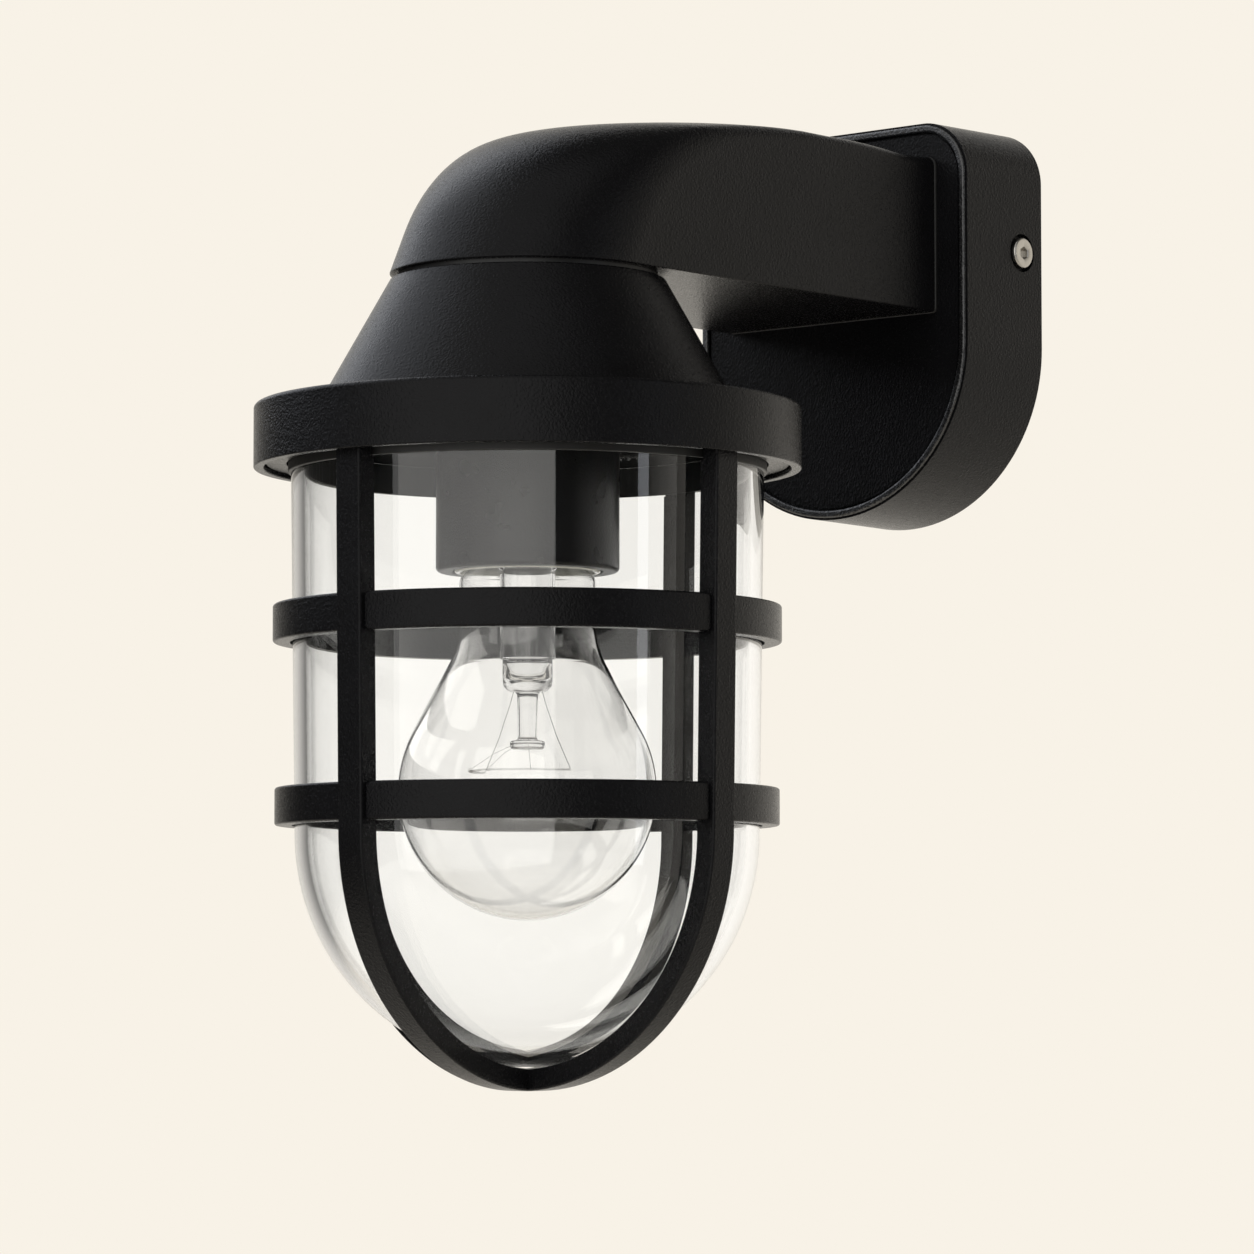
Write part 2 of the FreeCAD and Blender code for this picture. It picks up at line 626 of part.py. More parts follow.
def arm_screw_places():
    """The four (x, height) places of the screws between box and arm."""
    side = z.arm_width / 2 - z.arm_wall - z.arm_boss_in
    low = z.arm_underside + z.arm_wall + z.arm_boss_in
    high = crown_height(ARM_END) - z.arm_wall - z.arm_boss_in
    return [(x, height) for x in (-side, side) for height in (low, high)]


def wall_bracket():
    """Steel strap with a tongue for the terminal block and two lugs for the side screws."""
    body = new_body("wall_bracket")
    plate = sketch_on(body, "XZ_Plane")
    half = z.bracket_tongue_width / 2
    corners = [
        (-LUG_FACE, BRACKET_HIGH),
        (-LUG_FACE, BRACKET_LOW),
        (-half, BRACKET_LOW),
        (-half, -z.bracket_tongue_down),
        (half, -z.bracket_tongue_down),
        (half, BRACKET_LOW),
        (LUG_FACE, BRACKET_LOW),
        (LUG_FACE, BRACKET_HIGH),
    ]
    draw(plate, corners)
    circle(plate, ZERO, z.bracket_up, z.grommet_hole_r)
    circle(plate, z.earth_screw_side, z.earth_screw_up, z.m4_r + z.thread_gap)
    for side in (-1, 1):
        slot(plate, side * SLOT_OUT, ZERO, z.slot_length, z.slot_r)
    pad(body, plate, z.bracket_steel)
    lug = sketch_on(body, "YZ_Plane", LUG_FACE - z.bracket_steel)
    half = z.lug_height / 2
    middle = z.side_screw_up
    corners = [
        (half - z.lug_depth, middle - half),
        (ZERO, middle - half),
        (ZERO, middle + half),
        (half - z.lug_depth, middle + half),
        (-z.lug_depth, middle),
    ]
    draw(lug, corners, {3: (half, 1), 4: (half, 1)})
    circle(lug, -z.side_screw_back, middle, z.m4_r + z.thread_gap)
    lug_pad = pad(body, lug, z.bracket_steel)
    mirrored(body, [lug_pad], "YZ_Plane")
    return body


def side_screws():
    """Two socket head screws that hold the box on the bracket's lugs."""
    body = new_body("side_screws", (ZERO, -z.side_screw_back, z.side_screw_up), loose=True)
    seat = side_recess_floor()
    head = sketch_on(body, "YZ_Plane", seat)
    circle(head, ZERO, ZERO, z.side_head_r)
    made = [pad(body, head, z.side_head_height)]
    shank = sketch_on(body, "YZ_Plane", seat)
    circle(shank, ZERO, ZERO, z.m4_r)
    made.append(pad(body, shank, z.side_shank, Reversed=True))
    socket = sketch_on(body, "YZ_Plane", seat + z.side_head_height)
    hexagon(socket, z.side_socket_r)
    made.append(pocket(body, socket, z.side_socket_depth))
    mirrored(body, made, "YZ_Plane")
    return body


def cable_grommet():
    """Rubber grommet in the bracket, with a cone that closes round the supply cable."""
    body = new_body("cable_grommet", (ZERO, ZERO, z.bracket_up))
    flange = -(z.bracket_steel + z.grommet_flange)
    nose = flange - z.grommet_nose
    corners = [
        (ZERO, z.grommet_bore_r),
        (ZERO, z.grommet_hole_r),
        (-z.bracket_steel, z.grommet_hole_r),
        (-z.bracket_steel, z.grommet_hole_r + z.grommet_lip),
        (flange, z.grommet_hole_r + z.grommet_lip),
        (flange, z.grommet_hole_r - z.grommet_lip),
        (nose, z.grommet_bore_r + z.grommet_lip / 2),
        (nose, z.grommet_bore_r),
    ]
    turn(body, "YZ_Plane", "Y_Axis", corners)
    return body


def pole_places():
    """The terminal block's screws: two for each of its three poles."""
    return [
        (column * z.pole_pitch, row * z.block_length / 4)
        for column in (-1, 0, 1)
        for row in (-1, 1)
    ]


def terminal_block():
    """Three-pole block: a bar with a wire hole through each pole and a tower for each screw."""
    body = new_body("terminal_block", (ZERO, -z.bracket_steel, z.block_up))
    base = sketch_on(body, "XZ_Plane")
    half = z.block_width / 2
    rectangle(base, -half, half, -z.block_length / 2, z.block_length / 2)
    pad(body, base, z.block_base)
    towers = sketch_on(body, "XZ_Plane", z.block_base)
    for x, height in pole_places():
        circle(towers, x, height, z.block_tower_r)
    pad(body, towers, z.block_tower_height)
    wires = sketch_on(body, "XY_Plane")
    for column in (-1, 0, 1):
        place = ZERO if column == 0 else column * z.pole_pitch
        circle(wires, place, -z.block_base / 2, z.wire_hole_r)
    both_ways(body, wires, z.block_length + z.block_base, cut=True)
    holes = sketch_on(body, "XZ_Plane", z.block_base + z.block_tower_height)
    for x, height in pole_places():
        circle(holes, x, height, z.terminal_screw_r + z.thread_gap)
    pocket(body, holes, z.block_tower_height + z.block_base / 2)
    return body


def terminal_screws():
    """Six clamping screws, each down on its wire."""
    body = new_body("terminal_screws", (ZERO, -z.bracket_steel, z.block_up), loose=True)
    screws = sketch_on(body, "XZ_Plane", z.block_base / 2 + z.wire_hole_r)
    for x, height in pole_places():
        circle(screws, x, height, z.terminal_screw_r)
    pad(body, screws, z.terminal_screw_length)
    return body


def earth_screw():
    """Cheese head screw in the bracket, and the cup washer that holds the earth wire."""
    place = (z.earth_screw_side, ZERO, z.earth_screw_up)
    body = new_body("earth_screw", place, loose=True)
    washer_top = z.bracket_steel + z.earth_washer_thick
    head = sketch_on(body, "XZ_Plane", washer_top)
    circle(head, ZERO, ZERO, z.earth_head_r)
    pad(body, head, z.earth_head_height)
    shank = sketch_on(body, "XZ_Plane", washer_top)
    circle(shank, ZERO, ZERO, z.m4_r)
    pad(body, shank, washer_top, Reversed=True)
    return body


def earth_washer():
    place = (z.earth_screw_side, ZERO, z.earth_screw_up)
    body = new_body("earth_washer", place)
    ring = sketch_on(body, "XZ_Plane", z.bracket_steel)
    circle(ring, ZERO, ZERO, z.earth_washer_r)
    circle(ring, ZERO, ZERO, z.m4_r + z.thread_gap)
    pad(body, ring, z.earth_washer_thick)
    return body


# ---------------------------------------------------------------- arm


def path_start(inset):
    """Foot of the line that the arm's round nose is swept along, for a surface set in by inset."""
    lean = tangent(z.arm_lean)
    rise = inset + inset * sine(z.arm_lean)
    back = z.nose_back + rise * lean + inset * (cosine(z.arm_lean) - 1)
    return back, z.arm_underside + inset


def path_bend(inset):
    """Where the leaning line meets the bend over the nose."""
    back = z.nose_back + z.nose_straight * tangent(z.arm_lean)
    height = z.arm_underside + z.nose_straight
    return back + inset * (cosine(z.arm_lean) - 1), height - inset * sine(z.arm_lean)


def path_on_arc(start, radius, slope0, slope1):
    """End of an arc of the path that flattens from one slope to the next."""
    back = start[0] + radius * (sine(slope0) - sine(slope1))
    return back, start[1] + radius * (cosine(slope1) - cosine(slope0))


def path_crown(inset):
    """Where the bend over the nose meets the crown."""
    return path_on_arc(path_bend(inset), z.nose_r - inset, 90 - z.arm_lean, z.nose_end)


def path_end(inset):
    """Where the swept nose stops, near the top of the crown."""
    return path_on_arc(path_crown(inset), z.crown_r - inset, z.nose_end, z.crown_end)


def crown_height(back, inset=ZERO):
    """Height of the crown at a distance behind the lamp axis."""
    start = path_crown(inset)
    radius = z.crown_r - inset
    level = sine(z.nose_end) - (back - start[0]) / radius
    return start[1] + radius * (root(1 - level * level) - cosine(z.nose_end))


def arm_side(body, inset):
    """Side view of the arm, for its outside or, set in by the wall, for its duct."""
    sketch = sketch_on(body, "YZ_Plane")
    corners = [
        path_start(inset),
        path_bend(inset),
        path_crown(inset),
        (ARM_END, crown_height(ARM_END, inset)),
        (ARM_END, z.arm_underside + inset),
    ]
    draw(sketch, corners, {1: (z.nose_r - inset, -1), 2: (z.crown_r - inset, -1)})
    return sketch


def arm_nose(body, kind, inset):
    """The round nose: a half disc, with a little behind it, swept up the path."""
    radius = z.arm_width / 2 - inset
    back, height = path_start(inset)
    disc = sketch_on(body, "XY_Plane", height)
    corners = [
        (-radius, back),
        (ZERO, back - radius),
        (radius, back),
        (radius, back + z.arm_wall / 2),
        (-radius, back + z.arm_wall / 2),
    ]
    draw(disc, corners, {0: (radius, 1), 1: (radius, 1)})
    path = sketch_on(body, "YZ_Plane")
    corners = [path_start(inset), path_bend(inset), path_crown(inset), path_end(inset)]
    arcs = {1: (z.nose_r - inset, -1), 2: (z.crown_r - inset, -1)}
    draw(path, corners, arcs, closed=False)
    doc.recompute()
    nose = body.newObject("PartDesign::" + kind, "arm_nose")
    nose.Profile = disc
    nose.Spine = (path, ["Edge1", "Edge2", "Edge3"])
    nose.Mode = "Fixed"
    doc.recompute()
    return nose


def crown_edge(edge):
    """One of the two long edges of the crown."""
    curve = edge.Curve
    return curve.TypeId == "Part::GeomCircle" and near(curve.Radius, z.crown_r.value)


def arm():
    """Die-cast arm: flat sides, a crowned top and a round nose that leans back to the wall."""
    body = new_body("arm", LAMP)
    both_ways(body, arm_side(body, ZERO), z.arm_width)
    round_off(body, z.arm_top_edge_r, crown_edge)
    arm_nose(body, "AdditivePipe", ZERO)
    both_ways(body, arm_side(body, z.arm_wall), z.arm_width - 2 * z.arm_wall, cut=True)
    arm_nose(body, "SubtractivePipe", z.arm_wall)
    bosses = sketch_on(body, "XZ_Plane", z.arm_boss_length - ARM_END)
    for x, height in arm_screw_places():
        circle(bosses, x, height, z.arm_boss_r)
    pad(body, bosses, z.arm_boss_length, Reversed=True)
    holes = sketch_on(body, "XZ_Plane", -ARM_END)
    for x, height in arm_screw_places():
        circle(holes, x, height, z.m4_r + z.thread_gap)
    pocket(body, holes, z.arm_boss_length - z.arm_wall, Reversed=True)
    nipple_hole = sketch_on(body, "XY_Plane", z.arm_underside)
    circle(nipple_hole, ZERO, ZERO, z.nipple_hole_r)
    pocket(body, nipple_hole, z.arm_wall * 2, Reversed=True)
    return body


def arm_gasket():
    """Thin gasket between the arm's foot and the box, open for the duct and the screws."""
    body = new_body("arm_gasket")
    side = z.arm_width / 2 - z.arm_gasket_inset
    low = z.arm_underside + z.arm_gasket_inset
    high = crown_height(ARM_END) - z.arm_gasket_inset
    sheet = sketch_on(body, "XZ_Plane", BOX_FRONT)
    rectangle(sheet, -side, side, low, high)
    slot(sheet, ZERO, ARM_MIDDLE, z.duct_width, z.duct_height / 2)
    for x, height in arm_screw_places():
        circle(sheet, x, height, z.m4_hole_r)
    pad(body, sheet, z.arm_gasket_thick)
    return body


def arm_screws():
    """Four screws from inside the box into the arm's bosses."""
    body = new_body("arm_screws", loose=True)
    heads = sketch_on(body, "XZ_Plane", BOX_INSIDE - z.arm_head_height)
    for x, height in arm_screw_places():
        circle(heads, x, height, z.arm_head_r)
    pad(body, heads, z.arm_head_height)
    shanks = sketch_on(body, "XZ_Plane", BOX_INSIDE)
    for x, height in arm_screw_places():
        circle(shanks, x, height, z.m4_r)
    pad(body, shanks, z.arm_shank)
    return body


# ---------------------------------------------------------------- cap and lampholder


def ring_pad(label, low, thick, outer, inner):
    """A flat ring about the lamp axis."""
    body = new_body(label, LAMP)
    sketch = sketch_on(body, "XY_Plane", low)
    circle(sketch, ZERO, ZERO, outer)
    circle(sketch, ZERO, ZERO, inner)
    pad(body, sketch, thick)
    return body


def cap_gasket():
    outer = z.cap_top_r - z.seam_inset
    return ring_pad("cap_gasket", CAP_TOP, z.seam_gap, outer, z.nipple_hole_r)


def cone_radius(height):
    """Outer radius of the cap's cone at a height."""
    slope = (z.cap_cone_r - z.cap_top_r) / z.cap_cone_height
    return z.cap_top_r + (CAP_TOP - height) * slope


def head_cap():
    """Die-cast cap: a cone on a flange whose skirt takes the cage ring's thread."""
    slope = (z.cap_cone_r - z.cap_top_r) / z.cap_cone_height
    across = z.cap_wall * root(1 + slope * slope)
    corners = [
        (z.nipple_hole_r, CAP_TOP),
        (z.cap_top_r, CAP_TOP),
        (z.cap_cone_r, FLANGE_TOP),
        (FLANGE_R, FLANGE_TOP),
        (FLANGE_R, FLANGE_BOTTOM),
        (SKIRT_R, FLANGE_BOTTOM),
        (SKIRT_R, CEILING),
        (cone_radius(CEILING) - across, CEILING),
        (cone_radius(SLEEVE_TOP) - across, SLEEVE_TOP),
        (z.nipple_hole_r, SLEEVE_TOP),
    ]
    body = turned("head_cap", corners)
    round_off(body, z.cap_root_r, circle_at(z.cap_cone_r, FLANGE_TOP))
    round_off(body, z.flange_edge_r, circle_at(FLANGE_R, FLANGE_TOP))
    round_off(body, z.cap_top_edge_r, circle_at(z.cap_top_r, CAP_TOP))
    return body


def nipple():
    """Hollow threaded tube that clamps arm, cap, lampholder and bridge together."""
    low = NUT_SEAT - z.nut_height - z.nipple_spare
    high = z.arm_underside + z.arm_wall + z.nut_height + z.nipple_spare
    return ring_pad("nipple", low, high - low, z.nipple_r, z.nipple_bore_r)


def nipple_nut(label, low):
    body = new_body(label, LAMP)
    sketch = sketch_on(body, "XY_Plane", low)
    hexagon(sketch, z.nut_corner_r)
    circle(sketch, ZERO, ZERO, z.nipple_r + z.thread_gap)
    pad(body, sketch, z.nut_height)
    return body


def lampholder_sleeve():
    """Black metal cup round the lampholder, with a lip at its mouth."""
    inside = z.holder_r - z.holder_wall
    lip = inside - z.holder_lip
    corners = [
        (z.nipple_hole_r, SLEEVE_TOP),
        (z.holder_r, SLEEVE_TOP),
        (z.holder_r, HOLDER_BOTTOM),
        (lip, HOLDER_BOTTOM),
        (lip, HOLDER_BOTTOM + z.holder_wall),
        (inside, HOLDER_BOTTOM + z.holder_wall),
        (inside, SLEEVE_INSIDE),
        (z.nipple_hole_r, SLEEVE_INSIDE),
    ]
    body = turned("lampholder_sleeve", corners)
    round_off(body, z.holder_edge_r, circle_at(z.holder_r, HOLDER_BOTTOM))
    return body


def foot_screw_out():
    """The lampholder screws, out from the lamp axis."""
    return z.bridge_leg_out + z.bridge_foot / 2


def holder_bridge():
    """Steel hoop that hangs the ceramic lampholder from the nipple."""
    body = new_body("holder_bridge", LAMP)
    steel = z.bridge_steel
    leg = z.bridge_leg_out
    foot = leg + z.bridge_foot
    corners = [
        (-foot, CERAMIC_TOP),
        (steel - leg, CERAMIC_TOP),
        (steel - leg, SLEEVE_INSIDE - steel),
        (leg - steel, SLEEVE_INSIDE - steel),
        (leg - steel, CERAMIC_TOP),
        (foot, CERAMIC_TOP),
        (foot, CERAMIC_TOP + steel),
        (leg, CERAMIC_TOP + steel),
        (leg, SLEEVE_INSIDE),
        (-leg, SLEEVE_INSIDE),
        (-leg, CERAMIC_TOP + steel),
        (-foot, CERAMIC_TOP + steel),
    ]
    hoop = sketch_on(body, "XZ_Plane")
    draw(hoop, corners)
    both_ways(body, hoop, z.bridge_width)
    holes = sketch_on(body, "XY_Plane", SLEEVE_INSIDE)
    circle(holes, ZERO, ZERO, z.nipple_hole_r)
    pocket(body, holes, steel * 2)
    feet = sketch_on(body, "XY_Plane", CERAMIC_TOP + steel)
    for side in (-1, 1):
        circle(feet, side * foot_screw_out(), ZERO, z.m3_r + z.thread_gap)
    pocket(body, feet, steel * 2)
    return body


def holder_screws():
    """Two screws through the bridge's feet into the ceramic."""
    body = new_body("holder_screws", LAMP, loose=True)
    top = CERAMIC_TOP + z.bridge_steel
    heads = sketch_on(body, "XY_Plane", top)
    shanks = sketch_on(body, "XY_Plane", top)
    for side in (-1, 1):
        circle(heads, side * foot_screw_out(), ZERO, z.m3_head_r)
        circle(shanks, side * foot_screw_out(), ZERO, z.m3_r)
    pad(body, heads, z.m3_head_height)
    pad(body, shanks, z.m3_length, Reversed=True)
    return body


def lampholder_ceramic():
    """White ceramic body: a cup, mouth down, that the brass screw shell lines."""
    outer = z.holder_r - z.holder_wall - z.ceramic_gap
    corners = [
        (ZERO, CERAMIC_TOP),
        (outer, CERAMIC_TOP),
        (outer, CERAMIC_BOTTOM),
        (z.ceramic_mouth_r, CERAMIC_BOTTOM),
        (SHELL_R, CERAMIC_BOTTOM + z.ceramic_mouth_r - SHELL_R),
        (SHELL_R, CERAMIC_FLOOR),
        (ZERO, CERAMIC_FLOOR),
    ]
    body = turned("lampholder_ceramic", corners)
    screws = sketch_on(body, "XY_Plane", CERAMIC_TOP)
    wires = sketch_on(body, "XY_Plane", CERAMIC_TOP)
    for side in (-1, 1):
        circle(screws, side * foot_screw_out(), ZERO, z.m3_r + z.thread_gap)
        circle(wires, side * z.holder_wire_out, ZERO, z.lead_r + z.wire_gap)
    pocket(body, screws, z.m3_length)
    pocket(body, wires, z.holder_wire_depth)
    return body


def lampholder_shell():
    """Brass screw shell, its floor against the ceramic."""
    inner = SHELL_R - z.shell_wall
    low = CERAMIC_FLOOR - z.shell_height
    corners = [
        (z.shell_hole_r, CERAMIC_FLOOR),
        (SHELL_R, CERAMIC_FLOOR),
        (SHELL_R, low),
        (inner, low),
        (inner, CERAMIC_FLOOR - z.shell_wall),
        (z.shell_hole_r, CERAMIC_FLOOR - z.shell_wall),
    ]
    return turned("lampholder_shell", corners)


def lampholder_contact():
    """Sprung brass tongue: a foot on the ceramic and a flat over the bulb's tip."""
    body = new_body("lampholder_contact", LAMP)
    thick = z.tongue_thick
    half = z.tongue_width / 2
    flat = BULB_TIP + z.contact_clear
    foot = -z.tongue_width - z.tongue_foot
    corners = [
        (foot, CERAMIC_FLOOR),
        (foot, CERAMIC_FLOOR - thick),
        (-z.tongue_width - thick, CERAMIC_FLOOR - thick),
        (-half - thick, flat),
        (half, flat),
        (half, flat + thick),
        (-half, flat + thick),
        (-z.tongue_width, CERAMIC_FLOOR),
    ]
    tongue = sketch_on(body, "XZ_Plane")
    draw(tongue, corners)
    both_ways(body, tongue, z.tongue_width)
    return body


# ---------------------------------------------------------------- glass and cage


def glass_dome():
    """Thick pressed glass: a half ball under drafted sides, with a rim to hold it by."""
    inner = z.glass_r - z.glass_wall
    rim = glass_r_at(RIM_BOTTOM) + z.rim_lip
    corners = [
        (ZERO, DOME - z.glass_r),
        (z.glass_r, DOME),
        (glass_r_at(RIM_BOTTOM), RIM_BOTTOM),
        (rim, RIM_BOTTOM),
        (rim, RIM_TOP),
        (glass_r_at(RIM_TOP) - z.glass_wall, RIM_TOP),
        (inner, DOME),
        (ZERO, DOME - inner),
    ]
    return turned("glass_dome", corners, {0: (z.glass_r, 1), 6: (inner, -1)})


def glass_gasket():
    """Rubber seal wrapped round the glass's rim, with a sleeve that shows under the flange."""
    rim = glass_r_at(RIM_BOTTOM) + z.rim_lip
    low = FLANGE_BOTTOM - z.gasket_show
    bore = glass_r_at(RIM_TOP) - z.glass_wall + z.gasket_sleeve
    corners = [
        (bore, RIM_TOP),
        (rim, RIM_TOP),
        (rim, RIM_BOTTOM),
        (glass_r_at(RIM_BOTTOM), RIM_BOTTOM),
        (glass_r_at(low), low),
        (GASKET_SLEEVE_R, low),
        (GASKET_SLEEVE_R, GASKET_LEDGE),
        (GASKET_R, GASKET_LEDGE),
        (GASKET_R, GASKET_TOP),
        (bore, GASKET_TOP),
    ]
    return turned("glass_gasket", corners)


def cage_ring():
    """The cage's threaded ring, with the ledge that lifts the glass into the flange."""
    wide = GASKET_R + z.run_gap
    narrow = GASKET_SLEEVE_R + z.run_gap
    corners = [
        (narrow, RING_BOTTOM),
        (RING_R, RING_BOTTOM),
        (RING_R, RING_TOP),
        (wide, RING_TOP),
        (wide, RING_LEDGE),
        (narrow, RING_LEDGE),
    ]
    return turned("cage_ring", corners)


def cage_bars():
    """Two hoops crossed under the glass: the four bars of the cage."""
    body = new_body("cage_bars", LAMP)
    top_in = glass_r_at(RING_BOTTOM) + z.cage_gap
    top_out = top_in + z.cage_bar
    corners = [
        (-top_out, RING_BOTTOM),
        (-CAGE_OUT_R, DOME),
        (ZERO, DOME - CAGE_OUT_R),
        (CAGE_OUT_R, DOME),
        (top_out, RING_BOTTOM),
        (top_in, RING_BOTTOM),
        (CAGE_IN_R, DOME),
        (ZERO, DOME - CAGE_IN_R),
        (-CAGE_IN_R, DOME),
        (-top_in, RING_BOTTOM),
    ]
    arcs = {number: (CAGE_OUT_R, 1) for number in (1, 2)}
    arcs.update({number: (CAGE_IN_R, -1) for number in (6, 7)})
    arch = sketch_on(body, "XZ_Plane")
    draw(arch, corners, arcs)
    both_ways(body, arch, z.bar_width)
    half = z.bar_width / 2

    def outer_edge(edge):
        """An edge of the outer face, along the bar."""
        box = edge.BoundBox
        side = near(abs(box.YMin), half.value) and near(box.YMin, box.YMax)
        far = max(math.hypot(v.X, max(DOME.value - v.Z, 0)) for v in edge.Vertexes)
        return side and box.ZLength > half.value and far > CAGE_OUT_R.value - half.value / 2

    round_off(body, z.bar_edge_r, outer_edge)
    crossed = body.newObject("PartDesign::PolarPattern", "cage_bars_crossed")
    crossed.TransformMode = "Whole shape"
    crossed.Axis = (origin_item(body, "Z_Axis"), [""])
    crossed.Angle = 90
    crossed.Occurrences = 2
    body.Tip = crossed
    doc.recompute()
    notch = sketch_on(body, "XY_Plane", RING_BOTTOM)
    circle(notch, ZERO, ZERO, GASKET_SLEEVE_R + z.run_gap)
    show = RING_BOTTOM - FLANGE_BOTTOM + z.gasket_show + z.run_gap
    pocket(body, notch, show)
    return body


def hoop(label, middle):
    """One hoop of the cage: four arcs between the bars, a little behind their faces."""
    body = new_body(label, LAMP, loose=True)
    low = middle - z.hoop_height / 2
    high = middle + z.hoop_height / 2
    inner = glass_r_at(high) + z.cage_gap
    outer = glass_r_at(middle) + z.cage_gap + z.cage_bar - z.hoop_set_in
    corners = [(inner, low), (outer, low), (outer, high), (inner, high)]
    turn(body, "XZ_Plane", "Z_Axis", corners)

    def rim(edge):
        return circle_at(outer, low)(edge) or circle_at(outer, high)(edge)

    round_off(body, z.hoop_edge_r, rim)
    half = z.bar_width / 2
    reach = outer + z.cage_bar
    for across, along in ((half, reach), (reach, half)):
        gap = sketch_on(body, "XY_Plane", high)
        rectangle(gap, -across, across, -along, along)
        pocket(body, gap, z.hoop_height)
    return body


# ---------------------------------------------------------------- bulb


def bulb_envelope():
    """Clear bulb: a globe, a straight shoulder and a neck that closes into the cap."""
    wall = z.bulb_wall
    centre = -z.bulb_centre_drop
    globe = z.bulb_r
    slope = z.bulb_slope
    neck = z.bulb_neck_r
    bend = z.bulb_neck_bend_r
    neck_low = neck_foot()
    neck_high = BULB_CAP_BOTTOM - z.bulb_neck_taper
    in_cap = z.bulb_cap_r - z.bulb_cap_wall
    top = BULB_CAP_BOTTOM + z.bulb_in_cap
    corners = [
        (ZERO, centre - globe),
        (globe, centre),
        (globe * cosine(slope), centre + globe * sine(slope)),
        (neck + bend * (1 - cosine(slope)), neck_low - bend * sine(slope)),
        (neck, neck_low),
        (neck, neck_high),
        (in_cap, BULB_CAP_BOTTOM),
        (in_cap, top),
        (in_cap - wall, top),
        (in_cap - wall, BULB_CAP_BOTTOM),
        (neck - wall, neck_high),
        (neck - wall, neck_low),
        (neck + bend - (bend + wall) * cosine(slope), neck_low - (bend + wall) * sine(slope)),
        ((globe - wall) * cosine(slope), centre + (globe - wall) * sine(slope)),
        (globe - wall, centre),
        (ZERO, centre - globe + wall),
    ]
    arcs = {
        0: (globe, 1),
        1: (globe, 1),
        3: (bend, -1),
        11: (bend + wall, 1),
        13: (globe - wall, -1),
        14: (globe - wall, -1),
    }
    return turned("bulb_envelope", corners, arcs)


def neck_foot():
    """Height where the bulb's straight neck ends and the bend to the shoulder starts."""
    slope = z.bulb_slope
    end = z.bulb_neck_r + z.bulb_neck_bend_r * (1 - cosine(slope))
    shoulder = z.bulb_r * cosine(slope)
    shoulder_up = -z.bulb_centre_drop + z.bulb_r * sine(slope)
    return shoulder_up + (shoulder - end) / tangent(slope) + z.bulb_neck_bend_r * sine(slope)


def bulb_cap():
    """Thin metal screw cap."""
    inner = z.bulb_cap_r - z.bulb_cap_wall
    corners = [
        (inner, BULB_CAP_BOTTOM),
        (z.bulb_cap_r, BULB_CAP_BOTTOM),
        (z.bulb_cap_r, BULB_CAP_TOP),
        (z.bulb_insulator_r, BULB_CAP_TOP),
        (z.bulb_insulator_r, BULB_CAP_TOP - z.bulb_cap_wall),
        (inner, BULB_CAP_TOP - z.bulb_cap_wall),
    ]
    return turned("bulb_cap", corners)


def bulb_insulator():
    """Black glass cone between the cap and its centre contact."""
    low = BULB_CAP_TOP - z.bulb_cap_wall
    high = BULB_CAP_TOP + z.bulb_insulator_height
    corners = [
        (ZERO, low),
        (z.bulb_insulator_r, low),
        (z.bulb_insulator_r, BULB_CAP_TOP),
        (z.bulb_tip_r + z.bulb_cap_wall, high),
        (ZERO, high),
    ]
    return turned("bulb_insulator", corners)


def bulb_contact():
    low = BULB_TIP - z.bulb_tip_height
    corners = [(ZERO, low), (z.bulb_tip_r, low), (z.bulb_tip_r / 2, BULB_TIP), (ZERO, BULB_TIP)]
    return turned("bulb_contact", corners)


def bulb_stem():
    """Glass stem: a flared tube, the press at its end, and the rod with its button."""
    wall = z.stem_wall
    top = BULB_CAP_BOTTOM + z.bulb_in_cap
    flare = z.bulb_cap_r - z.bulb_cap_wall - z.bulb_wall
    pinch = top - (flare - z.stem_flare_r)
    press = -z.stem_press_drop
    press_r = z.stem_flare_r
    rod_end = -z.stem_rod_drop
    corners = [
        (flare, top),
        (flare, top - wall),
        (z.stem_flare_r, pinch - wall),
        (press_r, press + press_r),
        (z.stem_rod_r, press),
        (z.stem_rod_r, rod_end),
        (z.stem_button_r, rod_end),
        (z.stem_button_r, rod_end - z.stem_button_height),
        (ZERO, rod_end - z.stem_button_height),
        (ZERO, -z.stem_flare_drop),
        (z.stem_flare_r - wall, -z.stem_flare_drop),
        (z.stem_flare_r - wall, pinch),
        (flare - wall, top),
    ]
    return turned("bulb_stem", corners, {3: (press_r, -1)})


# ---------------------------------------------------------------- wires

# Each arc of a wire takes this share of the shorter of its two runs.
ARC_SHARE = 0.45
# A tube may differ from its section times its length by this share.
VOLUME_SLACK = 0.01


def millimetres(points):
    return [FreeCAD.Vector(*(as_size(value).value for value in point)) for point in points]


def bent_wire(points):
    """Straight runs joined by tangent arcs, each as large as its two runs allow."""
    spots = millimetres(points)
    edges = []
    radii = []
    begin = spots[0]
    for before, corner, after in zip(spots, spots[1:], spots[2:]):
        into = (before - corner).normalize()
        out = (after - corner).normalize()
        half_turn = (math.pi - into.getAngle(out)) / 2
        cut = ARC_SHARE * min((corner - before).Length, (after - corner).Length)
        radius = cut / math.tan(half_turn)
        start = corner + into * cut
        end = corner + out * cut
        reach = radius / math.cos(half_turn) - radius
        middle = corner + (into + out).normalize() * reach
        edges.append(Part.LineSegment(begin, start).toShape())
        edges.append(Part.Arc(start, middle, end).toShape())
        radii.append(round(radius, 1))
        begin = end
    edges.append(Part.LineSegment(begin, spots[-1]).toShape())
    return Part.Wire(edges), radii


